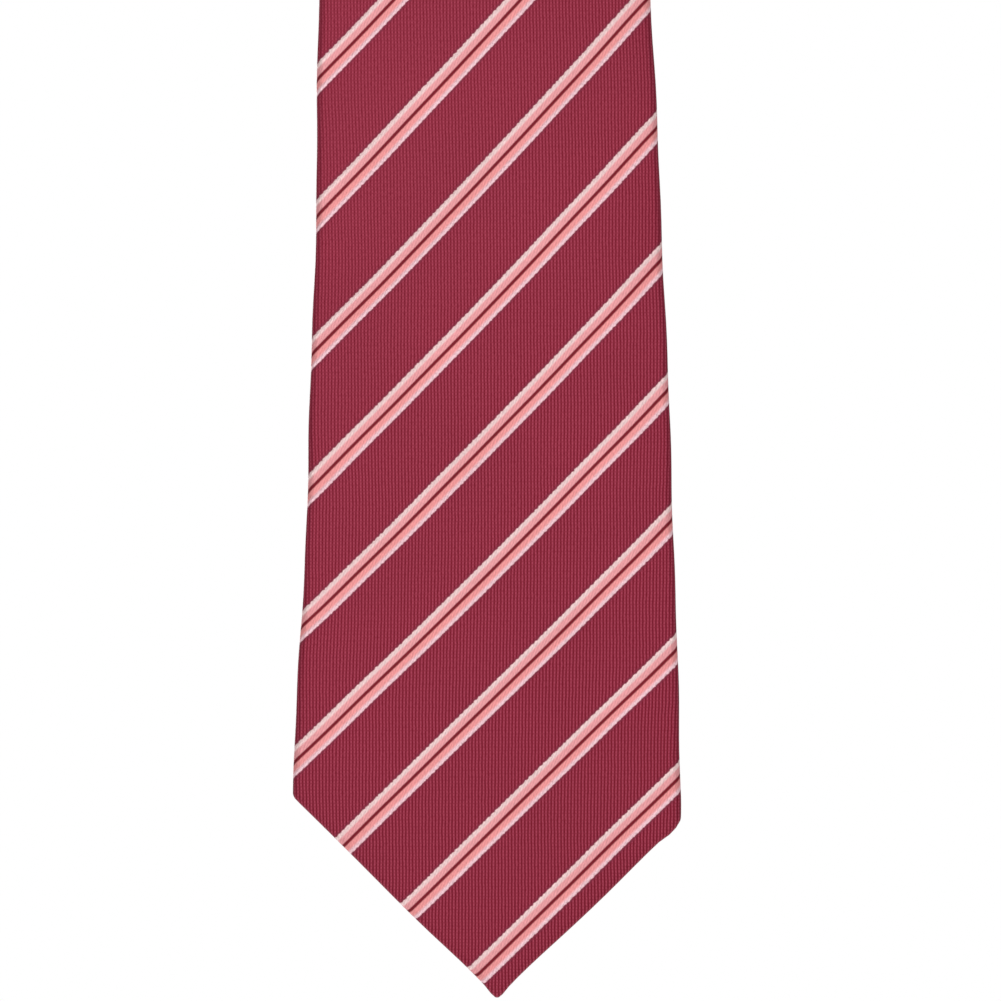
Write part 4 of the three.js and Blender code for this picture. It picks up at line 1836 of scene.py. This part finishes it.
@dataclass(frozen=True)
class ReppFinish:
    """Ribbed silk with woven stripes: a dark core, pink bands, and pale corded edges."""

    valley: tuple[int, int, int] = (116, 16, 37)
    crest: tuple[int, int, int] = (166, 62, 84)
    # painted shadow: the colour of the dark line where the raised stripe would shade the ground
    painted_shadow: tuple[int, int, int] = (126, 44, 64)
    core: tuple[int, int, int] = (120, 26, 38)
    pink: tuple[int, int, int] = (227, 154, 158)
    salmon: tuple[int, int, int] = (232, 148, 148)
    ivory: tuple[int, int, int] = (240, 208, 207)
    blush: tuple[int, int, int] = (243, 203, 211)
    rib: float = 0.76  # lengths are in millimetres
    cord: float = 1.5
    half: float = 2.66  # half a stripe's width
    sharpness: float = 4.0  # how sharply a stripe ends, per millimetre
    fray_scale: float = 2.2  # scales of noise, per millimetre
    drift_scale: float = 0.5
    warp_scale: float = 0.35
    patch_scale: float = 0.045
    fray: float = 0.12  # how far threads stray across the bands
    outer_fray: float = 0.22  # and how much further near a stripe's edge
    outer_from: float = 1.3
    cord_step: tuple[float, float] = (0.035, 0.03)  # the cord's way in and out, and more above
    cord_drift: float = 9.0  # in radians
    warp_drift: float = 1.6
    painted_shadow_at: float = 2.86  # from the core to the painted shadow line outside a stripe
    painted_shadow_half: float = 0.32
    ridge_at: float = 2.1  # from the core to the raised cord of a stripe's edge
    twill: float = 0.62

    def stripe(self, sh: Shader, place: ReppPlace) -> bpy.types.NodeSocket:
        """Colour the stripe's bands, above and below its core.

        Args:
            sh: The material's shader.
            place: The place in the pattern.

        Returns:
            The colour's socket.
        """
        core, pink, salmon, ivory, blush = (
            dye(*colour) for colour in (self.core, self.pink, self.salmon, self.ivory, self.blush)
        )
        # the bands' distances from the core, in millimetres
        below = [(0.0, core), (0.33, core), (0.62, salmon), (1.45, salmon), (2.05, blush), (2.6, blush)]
        above = [(0.0, core), (0.16, core), (0.40, pink), (1.42, pink), (1.82, ivory), (2.6, ivory)]
        return sh.blend(place.upper, sh.ramp(place.spread, below), sh.ramp(place.spread, above))

    def place(self, sh: Shader, u: bpy.types.NodeSocket, v: bpy.types.NodeSocket) -> ReppPlace:
        """Find where a point lies in the stripe's pattern.

        Args:
            sh: The material's shader.
            u: The cut's coordinate across, in millimetres.
            v: The cut's coordinate along.

        Returns:
            The place in the pattern.
        """
        at = sh.flat(u, v)
        number = sh.node("ShaderNodeAttribute", attribute_name=STRIPE).outputs["Fac"]
        local = sh.math("SUBTRACT", number, sh.math("ROUND", number))
        from_core = sh.math("MULTIPLY", local, STRIPES.across / MM)
        distance = sh.math("ABSOLUTE", from_core)
        upper = sh.math("GREATER_THAN", from_core, 0.0)
        run = sh.math("MULTIPLY", sh.math("ADD", u, v), math.sqrt(0.5))
        fray, drift = sh.noise(at, self.fray_scale, 2.0), sh.noise(at, self.drift_scale, 1.0)
        cord = sh.wave(run, self.cord, sh.math("MULTIPLY", drift, self.cord_drift))
        step = sh.math("MULTIPLY_ADD", upper, self.cord_step[1], self.cord_step[0])
        outer = sh.math("MULTIPLY", sh.math("SUBTRACT", distance, self.outer_from), 0.8, clamp=True)
        ragged = sh.math("MULTIPLY_ADD", cord, step, sh.math("MULTIPLY", fray, self.outer_fray))
        spread = sh.math("ADD", distance, sh.math("MULTIPLY", ragged, outer))
        spread = sh.math("MULTIPLY_ADD", fray, self.fray, spread)
        short_of_edge = sh.math("SUBTRACT", self.half, spread)
        inside = sh.math("MULTIPLY", short_of_edge, self.sharpness, clamp=True)
        return ReppPlace(distance, upper, spread, inside, cord, outer)

    def weave(self, sh: Shader, u: bpy.types.NodeSocket, v: bpy.types.NodeSocket) -> bpy.types.NodeSocket:
        """Cross the ribs with the beads of the weft, deeper to the right and below.

        Args:
            sh: The material's shader.
            u: The cut's coordinate across, in millimetres.
            v: The cut's coordinate along.

        Returns:
            The socket of the weave's height, about 0.
        """
        warp = sh.math("MULTIPLY", sh.noise(sh.flat(u, v), self.warp_scale, 1.0), self.warp_drift)
        rib = sh.wave(u, self.rib, warp)
        bead = sh.wave(v, self.rib, sh.math("MULTIPLY", warp, -1.0))
        right = sh.math("MULTIPLY_ADD", u, 0.0035, 0.66, clamp=True)
        lower = sh.math("MULTIPLY_ADD", v, -0.003, 0.62, clamp=True)
        weave = sh.math("MULTIPLY", rib, sh.math("MULTIPLY_ADD", bead, 0.38, 0.52))
        weave = sh.math("MULTIPLY_ADD", bead, 0.14, weave)
        return sh.math("MULTIPLY", weave, sh.math("ADD", right, lower))

    def make(self) -> bpy.types.Material:
        """Write the material.

        Returns:
            The material.
        """
        sh = Shader("striped repp")
        u, v = sh.cut()
        place = self.place(sh, u, v)
        weave = self.weave(sh, u, v)
        thread = sh.noise(sh.flat(u, v, 0.35), 3.2, 3.0)
        crest = sh.math("MULTIPLY_ADD", thread, 0.75, sh.math("MULTIPLY_ADD", weave, 1.15, 0.5))
        ground = sh.blend(crest, dye(*self.valley), dye(*self.crest))
        # painted shadow: the ground is darkened in a thin line just outside each stripe, where the raised
        # stripe would shade it
        from_painted_shadow = sh.math("ABSOLUTE", sh.math("SUBTRACT", place.spread, self.painted_shadow_at))
        painted_shadow = sh.math("MULTIPLY", sh.math("SUBTRACT", self.painted_shadow_half, from_painted_shadow), 3.6, clamp=True)
        ground = sh.blend(sh.math("MULTIPLY", painted_shadow, 0.8), ground, dye(*self.painted_shadow))
        colour = sh.blend(place.inside, ground, self.stripe(sh, place))
        twill = sh.wave(sh.math("MULTIPLY_ADD", v, -0.4, u), self.twill)
        twill = sh.math("MULTIPLY_ADD", twill, 0.06, sh.math("MULTIPLY", thread, 0.55))
        light = sh.math("MULTIPLY_ADD", twill, place.inside, 1.0)
        slub = sh.math("MULTIPLY", sh.math("MULTIPLY", place.cord, place.outer), place.inside)
        light = sh.math("MULTIPLY_ADD", slub, -0.10, light)
        patches = sh.noise(sh.flat(u, v), self.patch_scale, 2.0)
        light = sh.math("MULTIPLY_ADD", patches, 0.10, light)
        from_ridge = sh.math("MULTIPLY", sh.math("SUBTRACT", place.distance, self.ridge_at), 2.4)
        raised = sh.math("MAXIMUM", sh.math("SUBTRACT", 1.0, sh.math("ABSOLUTE", from_ridge)), 0.0)
        plain = sh.math("MULTIPLY_ADD", place.inside, -0.7, 1.0)
        height = sh.math("MULTIPLY", sh.math("MULTIPLY", weave, plain), 0.03)
        height = sh.math("MULTIPLY_ADD", raised, sh.math("MULTIPLY_ADD", place.cord, -0.03, 0.07), height)
        sh.relief(sh.math("MULTIPLY_ADD", thread, 0.03, height), 1.0)
        sh.set(Base_Color=sh.shade(colour, light), Roughness=0.46, Metallic=0.35)
        sh.set(Specular_IOR_Level=0.1, Sheen_Weight=0.03)
        return sh.material


@dataclass(frozen=True)
class WoolFinish:
    """Napped wool interlining."""

    colour: tuple[int, int, int] = (214, 202, 182)
    thread: float = 1.1  # millimetres

    def make(self) -> bpy.types.Material:
        """Write the material.

        Returns:
            The material.
        """
        sh = Shader("interlining wool")
        u, v = sh.cut()
        fluff = sh.noise(sh.flat(u, v), 1.8, 4.0)
        weave = sh.math("MULTIPLY", sh.wave(u, self.thread), sh.wave(v, self.thread))
        light = sh.math("MULTIPLY_ADD", fluff, 0.35, sh.math("MULTIPLY_ADD", weave, 0.05, 0.97))
        sh.relief(sh.math("MULTIPLY_ADD", fluff, 0.16, sh.math("MULTIPLY", weave, 0.05)), 0.8)
        sh.set(Base_Color=sh.shade(dye(*self.colour), light), Roughness=0.95, Specular_IOR_Level=0.15)
        sh.set(Sheen_Weight=0.4, Sheen_Roughness=0.6)
        return sh.material


@dataclass(frozen=True)
class SatinFinish:
    """Smooth lining satin."""

    colour: tuple[int, int, int] = (104, 26, 44)
    twill: float = 0.3  # millimetres

    def make(self) -> bpy.types.Material:
        """Write the material.

        Returns:
            The material.
        """
        sh = Shader("tipping satin")
        u, v = sh.cut()
        twill = sh.wave(sh.math("ADD", u, sh.math("MULTIPLY", v, 0.6)), self.twill)
        streak = sh.noise(sh.flat(u, v, 0.06), 2.4, 2.0)
        light = sh.math("MULTIPLY_ADD", streak, 0.22, sh.math("MULTIPLY_ADD", twill, 0.03, 1.0))
        sh.relief(sh.math("MULTIPLY_ADD", twill, 0.006, sh.math("MULTIPLY", streak, 0.03)), 0.7)
        sh.set(Base_Color=sh.shade(dye(*self.colour), light), Roughness=0.36, Specular_IOR_Level=0.2)
        sh.set(Anisotropic=0.55, Metallic=0.5)
        return sh.material


@dataclass(frozen=True)
class ThreadFinish:
    """Silk sewing thread."""

    colour: tuple[int, int, int] = (122, 34, 52)
    fibres: float = 2600.0  # per metre

    def make(self) -> bpy.types.Material:
        """Write the material.

        Returns:
            The material.
        """
        sh = Shader("sewing thread")
        at = sh.node("ShaderNodeTexCoord").outputs["Object"]
        fibre = sh.noise(at, self.fibres, 2.0)
        sh.relief(sh.math("MULTIPLY", fibre, 0.05), 0.6)
        light = sh.math("MULTIPLY_ADD", fibre, 0.5, 1.0)
        sh.set(Base_Color=sh.shade(dye(*self.colour), light), Roughness=0.5, Specular_IOR_Level=0.4)
        sh.set(Sheen_Weight=0.2)
        return sh.material


@dataclass(frozen=True)
class RibbonFinish:
    """Woven label satin: blank, with two thin border lines along each selvedge."""

    colour: tuple[int, int, int] = (232, 222, 204)
    border: tuple[int, int, int] = (128, 40, 58)
    lines: tuple[tuple[float, float], ...] = ((9.25, 9.6), (10.15, 10.9))  # millimetres from the middle
    blur: float = 0.05  # the width of a line's edge
    warp: float = 0.24
    weft: float = 0.32

    def make(self) -> bpy.types.Material:
        """Write the material.

        Returns:
            The material.
        """
        sh = Shader("label satin")
        u, v = sh.cut()
        out = sh.math("ABSOLUTE", u)
        cream, red = dye(*self.colour), dye(*self.border)
        stops = [(8.0, cream)]
        for low, high in self.lines:
            stops += [(low - self.blur, cream), (low, red), (high, red), (high + self.blur, cream)]
        stops.append((12.1, cream))
        colour = sh.ramp(out, stops)
        weft = sh.wave(v, self.weft)
        warp = sh.wave(u, self.warp)
        thread = sh.noise(sh.flat(u, v, 0.2), 3.0, 2.0)
        light = sh.math("MULTIPLY_ADD", weft, 0.025, sh.math("MULTIPLY_ADD", thread, 0.12, 1.0))
        sh.relief(sh.math("MULTIPLY", sh.math("ADD", weft, warp), 0.006), 0.8)
        sh.set(Base_Color=sh.shade(colour, light), Roughness=0.42)
        sh.set(Specular_IOR_Level=0.45, Sheen_Weight=0.1)
        return sh.material


# ---------------------------------------------------------------- the studio


@dataclass(frozen=True)
class Lamp:
    """One large soft lamp."""

    name: str
    at: tuple[float, float, float]
    aim: tuple[float, float, float]
    size: float
    power: float  # in watts

    def make(self) -> None:
        """Hang the lamp."""
        lamp = bpy.data.lights.new(self.name, "AREA")
        lamp.size, lamp.energy = self.size, self.power
        made = bpy.data.objects.new(self.name, lamp)
        made.location = self.at
        made.rotation_euler = (Vector(self.aim) - Vector(self.at)).to_track_quat("-Z", "Y").to_euler()
        bpy.context.scene.collection.objects.link(made)


@dataclass(frozen=True)
class Studio:
    """The camera, the lights and the floor."""

    frame_width: float = 0.2294
    lens: float = 200.0
    sensor: float = 36.0
    aim: tuple[float, float] = (0.0031, -0.7661)
    face: float = 9.1 * MM  # from the bar's axis forward to the tie's face
    ambient: float = 0.44
    lamps: tuple[Lamp, ...] = (
        Lamp("front", (-0.1, -2.2, -0.6), (0.0, 0.0, -0.75), 1.4, 15.0),
        Lamp("back", (-0.8, 2.2, -0.2), (0.0, 0.0, -0.5), 1.5, 20.0),
    )
    floor_radius: float = 4.0
    floor_height: float = -2.2

    def camera(self) -> None:
        """Look straight at the lower end of the front blade."""
        eye = bpy.data.cameras.new("camera")
        eye.lens, eye.sensor_width = self.lens, self.sensor
        eye.clip_end = 50.0
        made = bpy.data.objects.new("camera", eye)
        distance = self.frame_width * self.lens / self.sensor
        made.location = (self.aim[0], -distance - self.face, self.aim[1])
        made.rotation_euler = (math.pi / 2, 0.0, 0.0)
        bpy.context.scene.collection.objects.link(made)
        bpy.context.scene.camera = made

    def world(self) -> None:
        """A white surround for the camera and a softer one for the cloth."""
        world = bpy.data.worlds.new("surround")
        bpy.context.scene.world = world
        world.use_nodes = True
        tree = world.node_tree
        tree.nodes.clear()
        path = tree.nodes.new("ShaderNodeLightPath")
        soft, plain = (tree.nodes.new("ShaderNodeBackground") for _ in range(2))
        either = tree.nodes.new("ShaderNodeMixShader")
        soft.inputs["Strength"].default_value = self.ambient
        for shade in (soft, plain):
            shade.inputs["Color"].default_value = (1.0, 1.0, 1.0, 1.0)
        tree.links.new(path.outputs["Is Camera Ray"], either.inputs[0])
        tree.links.new(soft.outputs[0], either.inputs[1])
        tree.links.new(plain.outputs[0], either.inputs[2])
        tree.links.new(either.outputs[0], tree.nodes.new("ShaderNodeOutputWorld").inputs[0])

    def floor(self) -> None:
        """A pale round floor far below the tie."""
        angles = 2 * math.pi * np.arange(64) / 64
        x, y = self.floor_radius * np.cos(angles), self.floor_radius * np.sin(angles)
        ring = np.stack([x, y, np.full(64, self.floor_height)], axis=1)
        made = mesh_object("floor", ring, faces=[tuple(range(64))])
        pale = Shader("floor")
        pale.set(Base_Color=dye(240, 240, 240), Roughness=0.9)
        pale.set(Emission_Color=dye(255, 255, 255), Emission_Strength=0.5)
        made.data.materials.append(pale.material)

    def make(self) -> None:
        """Set up everything."""
        self.camera()
        self.world()
        for lamp in self.lamps:
            lamp.make()
        self.floor()
        bpy.context.scene.view_settings.view_transform = "Standard"


def outer_cloths() -> list[OuterCloth]:
    """Plan the three striped cloths, each cut on its own.

    Returns:
        The cloths, from the front tip to the tail.
    """
    gap = 0.03 * MM
    front = FoldedCloth(0.0, TIE.front_join - gap, FRONT_END)
    neck = FoldedCloth(TIE.front_join + gap, TIE.tail_join - gap)
    tail = FoldedCloth(0.0, TIE.length - TIE.tail_join - gap, TAIL_END, from_tail=True)
    return [
        OuterCloth("front_cloth", front, "front_blade_shell", 0.0, Bend.FRONT),
        OuterCloth("neck_cloth", neck, "neck_shell", 0.37),
        OuterCloth("tail_cloth", tail, "tail_blade_shell", 0.71, Bend.TAIL),
    ]


def inner_layers() -> list[InnerLayer]:
    """Plan the interlining in three lengths and the tipping at both ends.

    Returns:
        The layers.
    """
    gap, inset = 0.15 * MM, 2.3 * MM
    wool = {"slot": Slot.WOOL, "height": 0.0, "thickness": LAYERS.wool, "inset": inset}
    satin = {"slot": Slot.SATIN, "height": LAYERS.lining, "thickness": LAYERS.satin, "inset": inset}
    front = {"start": 0.0, "end": FRONT_END}
    tail = {"start": 0.0, "end": TAIL_END, "from_tail": True}
    neck = {"start": TIE.front_join + gap, "stop": TIE.tail_join - gap, "row_step": 2 * MM}
    front_stop, tail_stop = TIE.front_join - gap, TIE.length - TIE.tail_join - gap
    return [
        InnerLayer("front_wool", "front_interlining", stop=front_stop, bend=Bend.FRONT, **front, **wool),
        InnerLayer("neck_wool", "neck_interlining", **neck, **wool),
        InnerLayer("tail_wool", "tail_interlining", stop=tail_stop, bend=Bend.TAIL, **tail, **wool),
        InnerLayer("front_satin", "front_tipping", stop=0.190, body=Body.FRONT, **front, **satin),
        InnerLayer("tail_satin", "tail_tipping", stop=0.105, body=Body.TAIL, **tail, **satin),
    ]


def main() -> None:
    """Build the studio and the tie."""
    logging.basicConfig(level=logging.INFO, format="%(name)s: %(message)s")
    Studio().make()
    repp, wool, satin = ReppFinish().make(), WoolFinish().make(), SatinFinish().make()
    thread, ribbon = ThreadFinish().make(), RibbonFinish().make()
    for layer in inner_layers():
        layer.make(wool if layer.slot is Slot.WOOL else satin)
    for cloth in outer_cloths():
        cloth.make(repp)
    keeper, label = KeeperLoop(), CareLabel()
    keeper.make(repp)
    label.make(ribbon)
    Sewing(thread).make(keeper, label)
    SlackLoop().make(thread)


if __name__ == "__main__":
    main()
